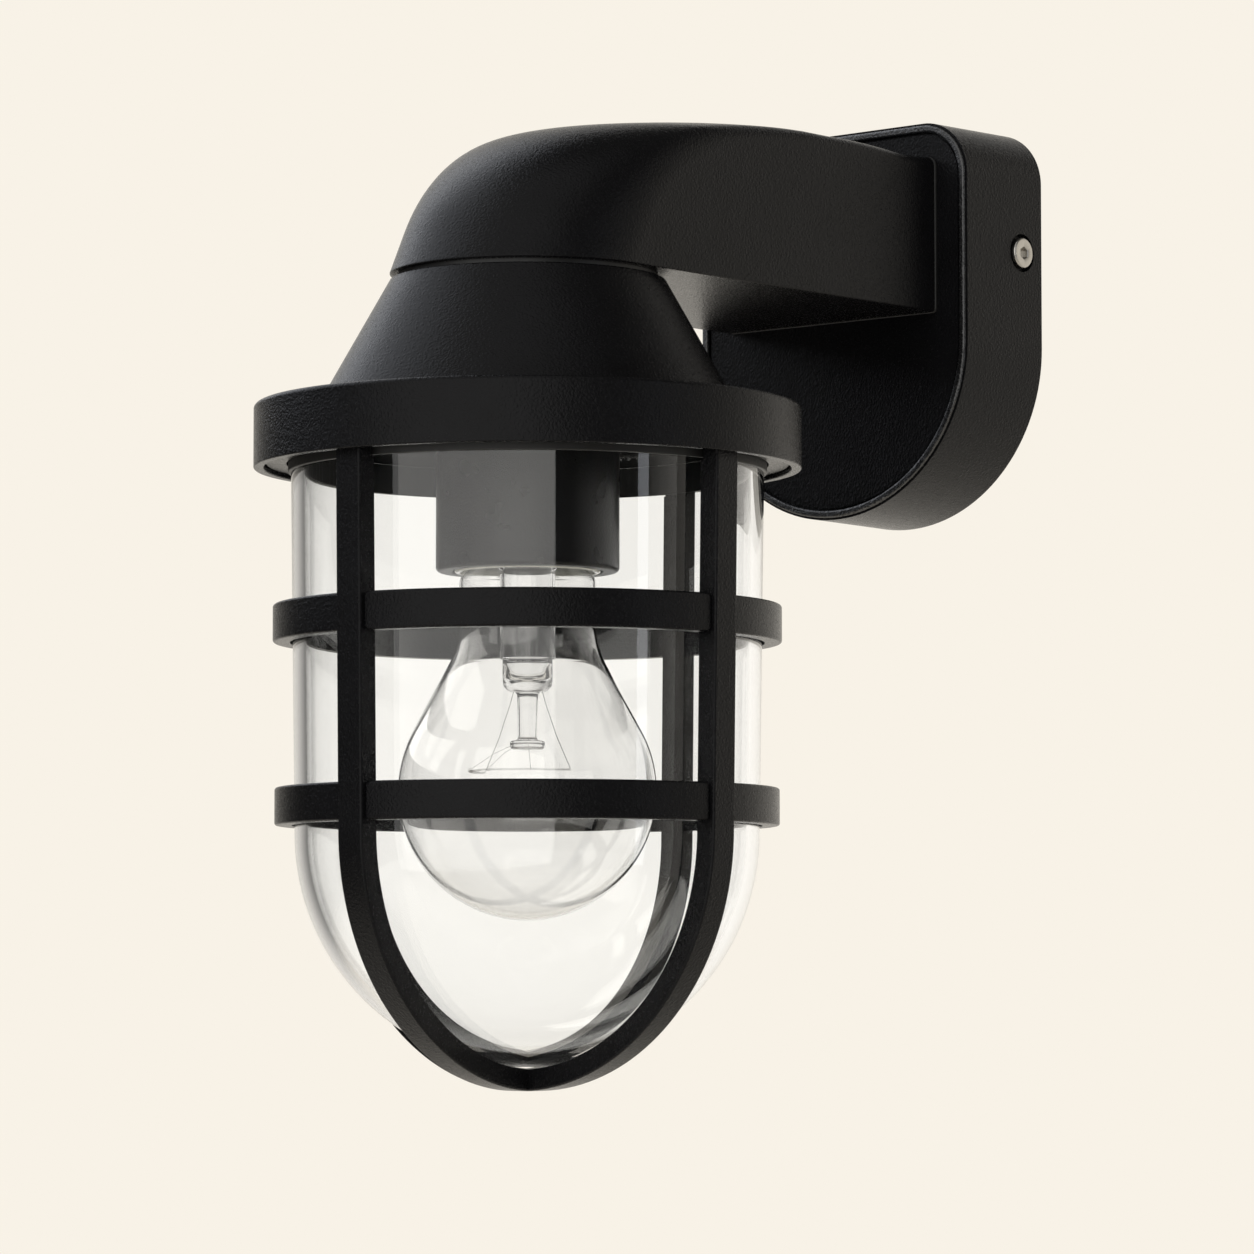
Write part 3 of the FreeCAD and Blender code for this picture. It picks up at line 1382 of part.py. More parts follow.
def tube_along(wire, radius):
    """A round tube along a wire."""
    start = wire.Edges[0]
    direction = start.tangentAt(start.FirstParameter)
    ring = Part.Circle(start.valueAt(start.FirstParameter), direction, radius.value)
    tube = wire.makePipeShell([Part.Wire([ring.toShape()])], True, False)
    due = math.pi * radius.value ** 2 * wire.Length
    if abs(tube.Volume - due) > VOLUME_SLACK * due:
        raise RuntimeError("a wire's volume is not its section times its length")
    return tube


def wire_part(label, shapes):
    """A part made of finished shapes."""
    part = doc.addObject("Part::Feature", label)
    part.Label = label
    part.Shape = shapes[0] if len(shapes) == 1 else Part.makeCompound(shapes)
    return part


def lampholder_lead(label, side):
    """A mains lead from the terminal block through arm and nipple to the lampholder."""
    pole = side * z.pole_pitch
    wire_out = -z.bracket_steel - z.block_base / 2
    block_top = z.block_up + z.block_length / 2
    apart = side * (z.lead_r + z.wire_gap)
    at_holder = side * z.holder_wire_out
    points = [
        (pole, wire_out, z.block_up + z.block_length / 8),
        (pole, wire_out, block_top + z.lead_r * 4),
        (pole, -z.box_depth / 2, ARM_MIDDLE - z.duct_height / 2),
        (pole / 2, -z.box_depth, ARM_MIDDLE),
        (apart, -z.lamp_out / 2, ARM_MIDDLE),
        (apart, -z.lamp_out, ARM_MIDDLE),
        (apart, -z.lamp_out, NUT_SEAT - z.nut_height - z.nipple_spare),
        (at_holder, -z.lamp_out, CERAMIC_TOP + z.holder_wire_out / 2),
        (at_holder, -z.lamp_out, CERAMIC_TOP - z.holder_wire_depth),
    ]
    wire, radii = bent_wire(points)
    print(label, "radii", radii)
    return wire_part(label, [tube_along(wire, z.lead_r)])


def earth_lead():
    """The earth lead from the middle pole to the washer on the bracket."""
    wire_out = -z.bracket_steel - z.block_base / 2
    block_top = z.block_up + z.block_length / 2
    washer = -z.bracket_steel - z.earth_washer_thick - z.earth_lead_r
    reach = z.earth_head_r + z.earth_lead_r
    points = [
        (ZERO, wire_out, z.block_up + z.block_length / 8),
        (ZERO, wire_out, block_top + z.earth_lead_r * 3),
        (z.earth_screw_side - reach - z.lead_r * 2, wire_out + z.lead_r * 2, -z.lead_r),
        (z.earth_screw_side - reach, washer, z.earth_screw_up - z.earth_head_r),
        (z.earth_screw_side - reach, washer, z.earth_screw_up + z.earth_head_r),
    ]
    wire, radii = bent_wire(points)
    print("earth_lead radii", radii)
    return wire_part("earth_lead", [tube_along(wire, z.earth_lead_r)])


def lamp_point(out, angle, height):
    """A point by its distance and angle about the lamp axis and its height."""
    return (out * cosine(as_size(angle)), out * sine(as_size(angle)) - z.lamp_out, height)


def bulb_wires():
    """Two lead-in wires down to the filament's ends and three supports out from the button."""
    shapes = []
    low = WIRE_LOW
    collar = -z.stem_flare_drop
    for angle in (0, 180):
        points = [
            lamp_point(z.stem_flare_r - z.stem_wall, angle, collar - z.stem_flare_r),
            lamp_point(z.stem_flare_r + z.bulb_wire_r * 2, angle, collar - z.stem_flare_r * 1.5),
            lamp_point(z.bulb_wire_out, angle, low),
        ]
        shapes.append(tube_along(bent_wire(points)[0], z.bulb_wire_r))
    button = -z.stem_rod_drop - z.stem_button_height / 2
    for angle in (225, 270, 315):
        ends = millimetres([
            lamp_point(z.stem_button_r, angle, button),
            lamp_point(z.bulb_wire_out, angle, low),
        ])
        wire = Part.Wire([Part.LineSegment(*ends).toShape()])
        shapes.append(tube_along(wire, z.support_r))
    return wire_part("bulb_wires", shapes)


def filament():
    """The coiled filament as a fine tube round the front of the button, from wire to wire."""
    low = WIRE_LOW - z.bulb_wire_r
    ends = millimetres([lamp_point(z.bulb_wire_out, angle, low) for angle in (180, 270, 360)])
    wire = Part.Wire([Part.Arc(*ends).toShape()])
    return wire_part("filament", [tube_along(wire, z.filament_r)])


# ---------------------------------------------------------------- the whole lamp


def build_all():
    wall_box()
    wall_seal()
    wall_bracket()
    side_screws()
    cable_grommet()
    terminal_block()
    terminal_screws()
    earth_screw()
    earth_washer()
    lampholder_lead("live_lead", -1)
    lampholder_lead("neutral_lead", 1)
    earth_lead()
    arm()
    arm_gasket()
    arm_screws()
    cap_gasket()
    head_cap()
    nipple()
    nipple_nut("nipple_nut_upper", z.arm_underside + z.arm_wall)
    nipple_nut("nipple_nut_lower", NUT_SEAT - z.nut_height)
    lampholder_sleeve()
    holder_bridge()
    holder_screws()
    lampholder_ceramic()
    lampholder_shell()
    lampholder_contact()
    glass_dome()
    glass_gasket()
    cage_ring()
    cage_bars()
    hoop("upper_hoop", -z.upper_hoop_drop)
    hoop("lower_hoop", -z.lower_hoop_drop)
    bulb_envelope()
    bulb_cap()
    bulb_insulator()
    bulb_contact()
    bulb_stem()
    bulb_wires()
    filament()


def sub_parts():
    """Each sub-part: the bodies and the finished wires."""
    kinds = ("PartDesign::Body", "Part::Feature")
    return [item for item in doc.Objects if item.TypeId in kinds]


def write_all():
    """Checks every object and every shape, then writes one file for each sub-part."""
    doc.recompute()
    for item in doc.Objects:
        if "Invalid" in item.State or "Error" in item.State:
            raise RuntimeError(f"{item.Label} did not build: {item.State}")
    for part in sub_parts():
        if part.Shape.isNull() or not part.Shape.isValid() or not part.Shape.Solids:
            raise RuntimeError(f"{part.Label} has no valid shape")
    os.makedirs("parts", exist_ok=True)
    for part in sub_parts():
        solids = len(part.Shape.Solids)
        print(f"{part.Label}: {solids} solids, {part.Shape.Volume / 1000:.2f} cm3")
        part.Shape.exportStep(f"parts/{part.Label}.step")


build_all()
write_all()
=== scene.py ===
import functools
import json
import math

import bmesh
import bpy
from mathutils import Matrix, Vector


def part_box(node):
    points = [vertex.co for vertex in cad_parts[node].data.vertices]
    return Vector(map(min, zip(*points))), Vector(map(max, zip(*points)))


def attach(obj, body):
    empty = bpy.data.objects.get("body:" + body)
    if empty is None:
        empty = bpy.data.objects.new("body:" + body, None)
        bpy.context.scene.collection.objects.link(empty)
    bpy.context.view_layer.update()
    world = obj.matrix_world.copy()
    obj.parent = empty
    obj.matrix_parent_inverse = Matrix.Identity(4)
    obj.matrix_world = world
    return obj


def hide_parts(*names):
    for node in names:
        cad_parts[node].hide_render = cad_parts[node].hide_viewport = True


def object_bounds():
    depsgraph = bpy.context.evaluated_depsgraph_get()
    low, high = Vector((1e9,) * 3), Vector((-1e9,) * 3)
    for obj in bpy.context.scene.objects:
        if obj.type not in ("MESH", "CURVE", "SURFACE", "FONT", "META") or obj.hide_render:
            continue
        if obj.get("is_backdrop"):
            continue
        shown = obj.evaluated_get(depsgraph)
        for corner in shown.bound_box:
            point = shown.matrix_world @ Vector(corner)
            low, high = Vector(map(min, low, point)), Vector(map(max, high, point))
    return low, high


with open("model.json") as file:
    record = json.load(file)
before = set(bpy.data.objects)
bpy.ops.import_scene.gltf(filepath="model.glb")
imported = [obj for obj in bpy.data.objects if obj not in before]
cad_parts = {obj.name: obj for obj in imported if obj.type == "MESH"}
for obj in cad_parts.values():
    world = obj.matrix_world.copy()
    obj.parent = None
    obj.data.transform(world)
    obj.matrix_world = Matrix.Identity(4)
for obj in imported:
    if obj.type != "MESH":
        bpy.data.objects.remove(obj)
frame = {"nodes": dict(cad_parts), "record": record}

bl_info = {
    "name": "Cage Wall Light",
    "version": (1, 0, 0),
    "blender": (4, 5, 0),
    "location": "View3D > Sidebar > Wall Light",
    "description": "A cast wall light: box, arm, cap, caged glass dome and a clear bulb",
    "category": "Add Mesh",
}

# Lengths in the sections below are millimetres; the scene is in metres.
MM = 0.001
CAP_LOW, CAP_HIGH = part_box("head_cap")
LAMP = Vector((0.0, (CAP_LOW.y + CAP_HIGH.y) / 2, 0.0))
# A curve is drawn with its chords at most this far inside it, in millimetres.
CHORD = 0.012
# Radius of the hole that the nipple goes through, in millimetres.
HOLE = 5.2
# Two places this close together, in metres, are the same place.
TOUCH = 1e-7
# Glass and cage widen upwards by this share of their height, the draft of their moulds.
DRAFT = 0.014
# The wave texture's own factor. At a scale of 1 / (WAVE * length) its rings are 2 * pi lengths
# apart, and its diagonal bands twice as far along an axis.
WAVE = 20


# ---------------------------------------------------------------- drawing and shaping


def lamp_plane(out, height):
    """A place beside the lamp axis: out to the right of it, and its height."""
    return LAMP + Vector((out * MM, 0.0, height * MM))


def steps_for(angle, radius):
    """How many chords an arc needs, from its angle and its radius in metres."""
    reach = 2 * math.acos(max(0.9, 1 - CHORD * MM / radius))
    return max(3, math.ceil(abs(angle) / reach))


def run_to(bm, pen, goal):
    """Draws a straight line from the pen's vertex."""
    pen = bmesh.ops.extrude_vert_indiv(bm, verts=[pen])["verts"][0]
    pen.co = goal
    return pen


def swing(bm, pen, centre, axis, angle):
    """Draws an arc from the pen's vertex about a centre."""
    steps = steps_for(angle, (pen.co - centre).length)
    swept = bmesh.ops.spin(bm, geom=[pen], cent=centre, axis=axis, angle=angle, steps=steps)
    return verts_in(swept["geom_last"])[0]


def draw(bm, spots, place, closed=True):
    """Draws a wire of corners (x, y), rounded ones (x, y, radius) and ("arc", x, y, degrees)."""
    normal = (place(1, 0) - place(0, 0)).cross(place(0, 1) - place(0, 0)).normalized()
    goals = [None if spot[0] == "arc" else place(*spot[:2]) for spot in spots]
    first = pen = bm.verts.new(goals[0])
    for number, spot in enumerate(spots[1:], start=1):
        if spot[0] == "arc":
            pen = swing(bm, pen, place(*spot[1:3]), normal, math.radians(spot[3]))
        elif len(spot) == 3:
            into = (goals[number] - pen.co).normalized()
            onward = (goals[(number + 1) % len(spots)] - goals[number]).normalized()
            turn = into.angle(onward)
            axis = into.cross(onward).normalized()
            pen = run_to(bm, pen, goals[number] - into * spot[2] * MM * math.tan(turn / 2))
            pen = swing(bm, pen, pen.co + axis.cross(into) * spot[2] * MM, axis, turn)
        else:
            pen = run_to(bm, pen, goals[number])
    if closed:
        bm.edges.new((pen, first))


def heal(bm):
    """Merges doubled vertices and turns every face outwards."""
    bmesh.ops.remove_doubles(bm, verts=bm.verts, dist=0.002 * MM)
    bmesh.ops.recalc_face_normals(bm, faces=bm.faces)


def turned(spots, closed=True, steps=144, place=lamp_plane, centre=LAMP, axis=(0, 0, 1)):
    """A half section turned once round its axis."""
    bm = bmesh.new()
    draw(bm, spots, place, closed)
    bmesh.ops.spin(
        bm, geom=bm.verts[:] + bm.edges[:], cent=centre, axis=axis,
        angle=math.tau, steps=steps, use_merge=True,
    )
    heal(bm)
    return bm


def bevel(bm, edges, radius, segments=4):
    """Rounds edges; radius in millimetres."""
    bmesh.ops.bevel(
        bm, geom=edges, offset=radius * MM, offset_type="OFFSET", segments=segments,
        profile=0.5, affect="EDGES", clamp_overlap=True, material=-1,
    )


def edges_with(bm, test):
    """The edges whose two ends both pass a test of their place."""
    return [edge for edge in bm.edges if all(test(vert.co) for vert in edge.verts)]


def everything(bm):
    """All the geometry of a bmesh."""
    return bm.verts[:] + bm.edges[:] + bm.faces[:]


def verts_in(items):
    """The vertices in what an operator gives back."""
    return [item for item in items if isinstance(item, bmesh.types.BMVert)]


def level(edge, axis):
    """Whether both ends of an edge have the same place along an axis."""
    return abs(edge.verts[0].co[axis] - edge.verts[1].co[axis]) < TOUCH


def thicken(bm, way):
    """Fills a closed wire and pulls the face along a way in metres."""
    face = bmesh.ops.contextual_create(bm, geom=bm.edges[:])["faces"]
    grown = bmesh.ops.extrude_face_region(bm, geom=face)["geom"]
    bmesh.ops.translate(bm, verts=verts_in(grown), vec=way)


def four_times(bm):
    """Copies a quarter round the lamp axis and joins the copies."""
    bmesh.ops.spin(
        bm, geom=everything(bm), cent=LAMP, axis=(0, 0, 1), angle=math.tau * 3 / 4, steps=3,
        use_duplicate=True,
    )
    heal(bm)


def make_piece(bm, name, body, nodes, slot, finishes, look=None, sharp=38.0, weighted=True):
    """Turns a bmesh into a finished piece that rides on its body and stands for its CAD nodes."""
    mesh = bpy.data.meshes.new(name)
    bm.to_mesh(mesh)
    bm.free()
    mesh.shade_smooth()
    mesh.set_sharp_from_angle(angle=math.radians(sharp))
    mesh.materials.append(finishes[look or slot])
    piece = bpy.data.objects.new(name, mesh)
    bpy.context.scene.collection.objects.link(piece)
    if weighted:
        normals = piece.modifiers.new("flat_faces_stay_flat", "WEIGHTED_NORMAL")
        normals.keep_sharp = True
    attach(piece, body)
    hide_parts(*nodes)
    return piece


# ---------------------------------------------------------------- materials


def colour(code):
    """An sRGB hex code as a linear colour."""
    parts = (int(code[at:at + 2], 16) / 255 for at in (1, 3, 5))
    linear = (c / 12.92 if c <= 0.04045 else ((c + 0.055) / 1.055) ** 2.4 for c in parts)
    return (*linear, 1.0)


def per_mm(size):
    """The texture scale at which one feature is this many millimetres across."""
    return 1 / (size * MM)


def add(tree, kind, settings=None, links=None):
    """Adds a node; settings fill its sockets or properties, links join its sockets.

    A link from a whole node starts at its first output that is in use.
    """
    node = tree.nodes.new(kind)
    for name, value in (settings or {}).items():
        if isinstance(name, int) or name in node.inputs:
            node.inputs[name].default_value = value
        else:
            setattr(node, name, value)
    for name, source in (links or {}).items():
        if isinstance(source, bpy.types.Node):
            source = next(output for output in source.outputs if output.enabled)
        tree.links.new(source, node.inputs[name])
    return node


def new_material(name):
    """An empty material, its tree and its object coordinates."""
    material = bpy.data.materials.get(name) or bpy.data.materials.new(name)
    material.use_nodes = True
    tree = material.node_tree
    tree.nodes.clear()
    place = add(tree, "ShaderNodeTexCoord").outputs["Object"]
    return material, tree, place


def surface(tree, settings, links, gloss=None, relief=None, gone=None):
    """Closes a material.

    gloss is (noise, lowest and highest roughness), relief is (height, depth in mm, strength), and
    gone is (share, tint) of a clear part that lets light straight through.
    """
    links = dict(links)
    if gloss:
        noise, low, high = gloss
        links["Roughness"] = add(
            tree, "ShaderNodeMapRange",
            {"From Min": 0.3, "From Max": 0.7, "To Min": low, "To Max": high}, {"Value": noise},
        )
    if relief:
        height, depth, strength = relief
        links["Normal"] = add(
            tree, "ShaderNodeBump", {"Strength": strength, "Distance": depth * MM},
            {"Height": height},
        )
    shader = add(tree, "ShaderNodeBsdfPrincipled", settings, links)
    if gone:
        share, tint = gone
        clear = add(tree, "ShaderNodeBsdfTransparent", {"Color": colour(tint)})
        shader = add(tree, "ShaderNodeMixShader", {}, {0: share, 1: shader, 2: clear})
    add(tree, "ShaderNodeOutputMaterial", links={"Surface": shader})


def mottled(tree, place, size, dark, light, detail=2.0):
    """Noise of a real size, and two colours mixed by it."""
    noise = add(
        tree, "ShaderNodeTexNoise", {"Scale": per_mm(size), "Detail": detail}, {"Vector": place}
    )
    mix = add(
        tree, "ShaderNodeMix", {"data_type": "RGBA", 6: colour(dark), 7: colour(light)}, {0: noise}
    )
    return noise, mix


def powder_coat(finish):
    """Fine-texture polyester powder coat on die-cast aluminium: deep black with grainy gloss."""
    material, tree, place = new_material("fine_texture_powder_coat")
    # The cured grains are about 0.4 mm across; they are drawn at 0.6 mm, or none would show.
    grain = add(
        tree, "ShaderNodeTexNoise",
        {"Scale": per_mm(0.6), "Detail": 2.0, "Roughness": 0.6}, {"Vector": place},
    )
    # The film is thicker here and thinner there, which shifts the black over a centimetre.
    _, black = mottled(tree, place, 11.0, finish.coat_dark, finish.coat_light)
    # Powder levels out on the bead round the box, so the bead is glossier than the faces. That
    # holds for six tenths of the way from the bead's front to the panel, and ends at nine tenths.
    front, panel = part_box("wall_box")[0].y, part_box("arm_gasket")[1].y
    depth = add(tree, "ShaderNodeSeparateXYZ", {}, {0: place}).outputs["Y"]
    off_panel = add(
        tree, "ShaderNodeMapRange",
        {"From Min": 0.4 * front + 0.6 * panel, "From Max": 0.1 * front + 0.9 * panel,
         "To Min": 1.0, "To Max": 0.0},
        {"Value": depth},
    )
    on_box = add(
        tree, "ShaderNodeMath", {"operation": "GREATER_THAN", 1: front - 0.01 * MM}, {0: depth}
    )
    bead = add(tree, "ShaderNodeMath", {"operation": "MULTIPLY"}, {0: off_panel, 1: on_box})
    specular = add(
        tree, "ShaderNodeMapRange",
        {"From Min": 0.3, "From Max": 0.7, "To Min": finish.coat_specular, "To Max": 0.9},
        {"Value": bead},
    )
    surface(
        tree, {"IOR": 1.5}, {"Base Color": black, "Specular IOR Level": specular},
        gloss=(grain, 0.2, 0.29), relief=(grain, 0.18, 1.0),
    )
    return material


def smooth_enamel(finish):
    """Smooth stoved enamel on the spun steel sleeve: satin, with soft upright reflections."""
    material, tree, place = new_material("smooth_black_enamel")
    ripple, black = mottled(tree, place, 7.0, finish.coat_dark, finish.coat_light)
    grain = add(
        tree, "ShaderNodeTexNoise", {"Scale": per_mm(0.6), "Detail": 2.0}, {"Vector": place}
    )
    surface(
        tree, {"Specular IOR Level": 0.3}, {"Base Color": black},
        gloss=(ripple, 0.27, 0.3), relief=(grain, 0.1, 0.8),
    )
    return material


def clear_glass(name, tint, wave, depth):
    """Clear soda-lime glass; wave is the width of its faint ripples and depth their height."""
    material, tree, place = new_material(name)
    ripple = add(
        tree, "ShaderNodeTexNoise", {"Scale": per_mm(wave), "Detail": 1.0}, {"Vector": place}
    )
    # Light passes to what lies behind the glass, as it does through the real pane.
    shadow = add(tree, "ShaderNodeLightPath").outputs["Is Shadow Ray"]
    surface(
        tree,
        {"Base Color": colour(tint), "Roughness": 0.0, "IOR": 1.5, "Transmission Weight": 1.0},
        {}, relief=(ripple, depth, 0.4), gone=(shadow, "#f2f4f3"),
    )
    return material


def drifting(name, dark, light, size, low, high, settings, detail, depth, strength):
    """A finish whose tone, gloss and faint relief drift over a real distance."""
    material, tree, place = new_material(name)
    drift, tone = mottled(tree, place, size, dark, light, detail)
    surface(
        tree, settings, {"Base Color": tone},
        gloss=(drift, low, high), relief=(drift, depth, strength),
    )
    return material


def plain_metal(*look):
    """A bare or plated metal."""
    return drifting(*look, {"Metallic": 1.0}, 4.0, 0.01, 0.2)


def smooth_solid(*look, coat=0.0):
    """A moulded plastic, a glaze or a black glass; coat is the weight of a glaze."""
    return drifting(*look, {"Coat Weight": coat, "Coat Roughness": 0.05}, 3.0, 0.02, 0.2)


def turned_stainless(screw):
    """A2 stainless with rings round the middle of its turned head, which catch the light."""
    material, tree, place = new_material("turned_stainless")
    centred = add(
        tree, "ShaderNodeMapping", {"Location": (0.0, -screw.y, -screw.z)}, {"Vector": place}
    )
    # Feed marks would be too fine to show, so a few broad rings stand for them.
    rings = add(
        tree, "ShaderNodeTexWave",
        {"wave_type": "RINGS", "rings_direction": "X", "Scale": per_mm(0.3) / WAVE,
         "Distortion": 0.4, "Detail": 1.0},
        {"Vector": centred},
    ).outputs["Fac"]
    drift, tone = mottled(tree, place, 1.4, "#aeaba5", "#c6c2bb")
    surface(
        tree, {"Metallic": 1.0}, {"Base Color": tone},
        gloss=(drift, 0.26, 0.36), relief=(rings, 0.01, 0.3),
    )
    return material


def earth_insulation():
    """Extruded silicone in the earth lead's two colours, broad bands of green and yellow."""
    material, tree, place = new_material("earth_insulation")
    bands = add(
        tree, "ShaderNodeTexWave",
        {"bands_direction": "DIAGONAL", "Scale": per_mm(4.0) / WAVE, "Distortion": 0.0},
        {"Vector": place},
    ).outputs["Fac"]
    edge = add(tree, "ShaderNodeMapRange", {"From Min": 0.6, "From Max": 0.7}, {"Value": bands})
    tone = add(
        tree, "ShaderNodeMix",
        {"data_type": "RGBA", 6: colour("#2f7a2c"), 7: colour("#d9c324")}, {0: edge},
    )
    grain = add(
        tree, "ShaderNodeTexNoise", {"Scale": per_mm(1.0), "Detail": 2.0}, {"Vector": place}
    )
    surface(tree, {}, {"Base Color": tone}, gloss=(grain, 0.42, 0.55))
    return material


def make_materials(finish):
    """Every finish of the light, by the name of the record's slot."""
    screw_low, screw_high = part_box("side_screws")
    return {
        "black_paint": powder_coat(finish),
        "sleeve_enamel": smooth_enamel(finish),
        # Pressed in a mould: thick, with slow ripples from the plunger.
        "clear_glass": clear_glass("pressed_clear_glass", finish.glass_tint, 26.0, 0.02),
        # Blown thin: the ripples are finer and fainter.
        "bulb_glass": clear_glass("blown_bulb_glass", finish.bulb_tint, 14.0, 0.01),
        # Moulded EPDM rubber: matt black, with the faint orange peel of its mould.
        "seal_rubber": drifting(
            "moulded_epdm_rubber", "#141414", "#1c1c1b", 0.9, 0.4, 0.52,
            {"Specular IOR Level": 0.5}, 4.0, 0.03, 0.4,
        ),
        "stainless": turned_stainless((screw_low + screw_high) / 2),
        # Bright zinc plate: cool grey, with the cloudy bloom of its passivation.
        "zinc_steel": plain_metal("bright_zinc_plate", "#a9adb0", "#c8ccce", 3.5, 0.28, 0.42),
        # Drawn brass, slightly dulled by handling.
        "brass": plain_metal("drawn_brass", "#b8924a", "#d2ac62", 4.0, 0.24, 0.36),
        # Nickel-plated brass of the bulb's cap.
        "nickel": plain_metal("nickel_plate", "#c2bfb8", "#d8d5cd", 5.0, 0.18, 0.28),
        # Glazed steatite: off-white under a wet-looking glaze.
        "ceramic": smooth_solid("glazed_steatite", "#e6e2d6", "#f1eee4", 6.0, 0.18, 0.26, coat=0.6),
        # Vitrite, the black glass of a bulb's cap.
        "black_glass": smooth_solid("black_vitrite", "#0c0c10", "#15151a", 2.0, 0.08, 0.14),
        # Moulded polyamide: milky white and satin.
        "block_plastic": smooth_solid("white_polyamide", "#dedcd2", "#ebe9e1", 2.5, 0.38, 0.5),
        # Extruded silicone insulation.
        "brown_insulation": smooth_solid("brown_silicone", "#4a2a1c", "#5a3524", 1.5, 0.42, 0.55),
        "blue_insulation": smooth_solid("blue_silicone", "#1c4f9c", "#2a62b4", 1.5, 0.42, 0.55),
        "earth_insulation": earth_insulation(),
        # Drawn tungsten and molybdenum wire, grey and bright.
        "tungsten": plain_metal("drawn_tungsten", "#8a8782", "#a8a59e", 0.8, 0.2, 0.3),
    }


# ---------------------------------------------------------------- sizes and colours to change


Length = functools.partial(bpy.props.FloatProperty, unit="LENGTH")


class CapSizes(bpy.types.PropertyGroup):
    """The cap over the glass."""
    top_radius: Length(name="Cap top", description="Radius of the cap's top", default=0.0324)
    cone_radius: Length(
        name="Cone foot", description="Radius of the cone where it meets the flange",
        default=0.0493,
    )
    flange_radius: Length(
        name="Flange", description="Outer radius of the flange",
        default=(CAP_HIGH.x - CAP_LOW.x) / 2,
    )
    top: Length(name="Top", description="Height of the cap's top", default=CAP_HIGH.z)
    bottom: Length(
        name="Bottom", description="Height of the flange's lower edge", default=CAP_LOW.z,
    )
    flange_height: Length(
        name="Flange height", description="Height of the flange's rim", default=0.015,
    )


class ArmSizes(bpy.types.PropertyGroup):
    """The arm from the wall box to the cap."""
    width: Length(name="Width", description="Over the arm's flat sides", default=0.0664)
    lean: bpy.props.FloatProperty(
        name="Lean", description="How far the round nose leans back",
        default=math.radians(26.4), unit="ROTATION", subtype="ANGLE",
    )
    nose_radius: Length(
        name="Nose bend", description="Radius of the bend over the nose", default=0.0475,
    )
    crown_radius: Length(
        name="Crown", description="Radius of the crown along the top", default=0.252,
    )
    edge_radius: Length(
        name="Upper edges", description="Radius of the long upper edges", default=0.0024,
    )


class GlassSizes(bpy.types.PropertyGroup):
    """The glass dome."""
    radius: Length(name="Radius", description="Outer radius at the dome's centre", default=0.0544)
    wall: Length(name="Wall", description="Thickness of the glass", default=0.003)
    centre: Length(
        name="Dome centre", description="Height of the centre of the half ball", default=-0.131,
    )


class CageSizes(bpy.types.PropertyGroup):
    """The cast cage."""
    bar_width: Length(name="Bar width", description="Across a bar", default=0.0075)
    bar_depth: Length(name="Bar depth", description="From a bar's face to its back", default=0.0051)
    hoop_set_in: Length(
        name="Hoop set-in", description="How far a hoop's face lies behind the bars", default=0.001,
    )


class BulbSizes(bpy.types.PropertyGroup):
    """The clear bulb."""
    globe_radius: Length(name="Globe", description="Radius of the bulb's globe", default=0.0303)
    centre: Length(name="Globe centre", description="Height of the globe's centre", default=-0.121)
    wire: Length(name="Lead wire", description="Radius of the lead-in wires", default=0.00007)


class Finish(bpy.types.PropertyGroup):
    """Colours and gloss."""
    coat_dark: bpy.props.StringProperty(
        name="Coat, dark", description="Powder coat where the film is thick, sRGB hex",
        default="#0a0a0b",
    )
    coat_light: bpy.props.StringProperty(
        name="Coat, light", description="Powder coat where the film is thin, sRGB hex",
        default="#101012",
    )
    coat_specular: bpy.props.FloatProperty(
        name="Coat gloss", description="Strength of the powder coat's mirror part",
        default=0.12, min=0.0, max=1.0, subtype="FACTOR",
    )
    glass_tint: bpy.props.StringProperty(
        name="Glass", description="Tint of the pressed glass, sRGB hex", default="#fcfdfd",
    )
    bulb_tint: bpy.props.StringProperty(
        name="Bulb glass", description="Tint of the bulb's glass, sRGB hex", default="#fdfdfd",
    )
    backdrop: bpy.props.StringProperty(
        name="Backdrop", description="The pale warm ground behind the light, sRGB hex",
        default="#f8f2e7",
    )


class StageSettings(bpy.types.PropertyGroup):
    """Camera, floor and lamps."""
    lens: bpy.props.FloatProperty(
        name="Lens", description="Focal length of the camera", default=146.5, unit="CAMERA",
    )
    floor_height: Length(
        name="Floor", description="Height of the floor under the light", default=-0.40,
    )
    softbox: bpy.props.FloatProperty(
        name="Softbox", description="Power of the large softbox in front",
        default=17.0, unit="POWER",
    )
    room: bpy.props.FloatProperty(
        name="Room light", description="Strength of the soft light from all round",
        default=0.45, min=0.0, max=1.0, subtype="FACTOR",
    )


# ---------------------------------------------------------------- pieces


class PieceOperator(bpy.types.Operator):
    """One step of building the wall light."""
    bl_options = {"REGISTER", "UNDO"}

    def execute(self, context):
        self.build(context.scene, make_materials(context.scene.light_finish))
        return {"FINISHED"}


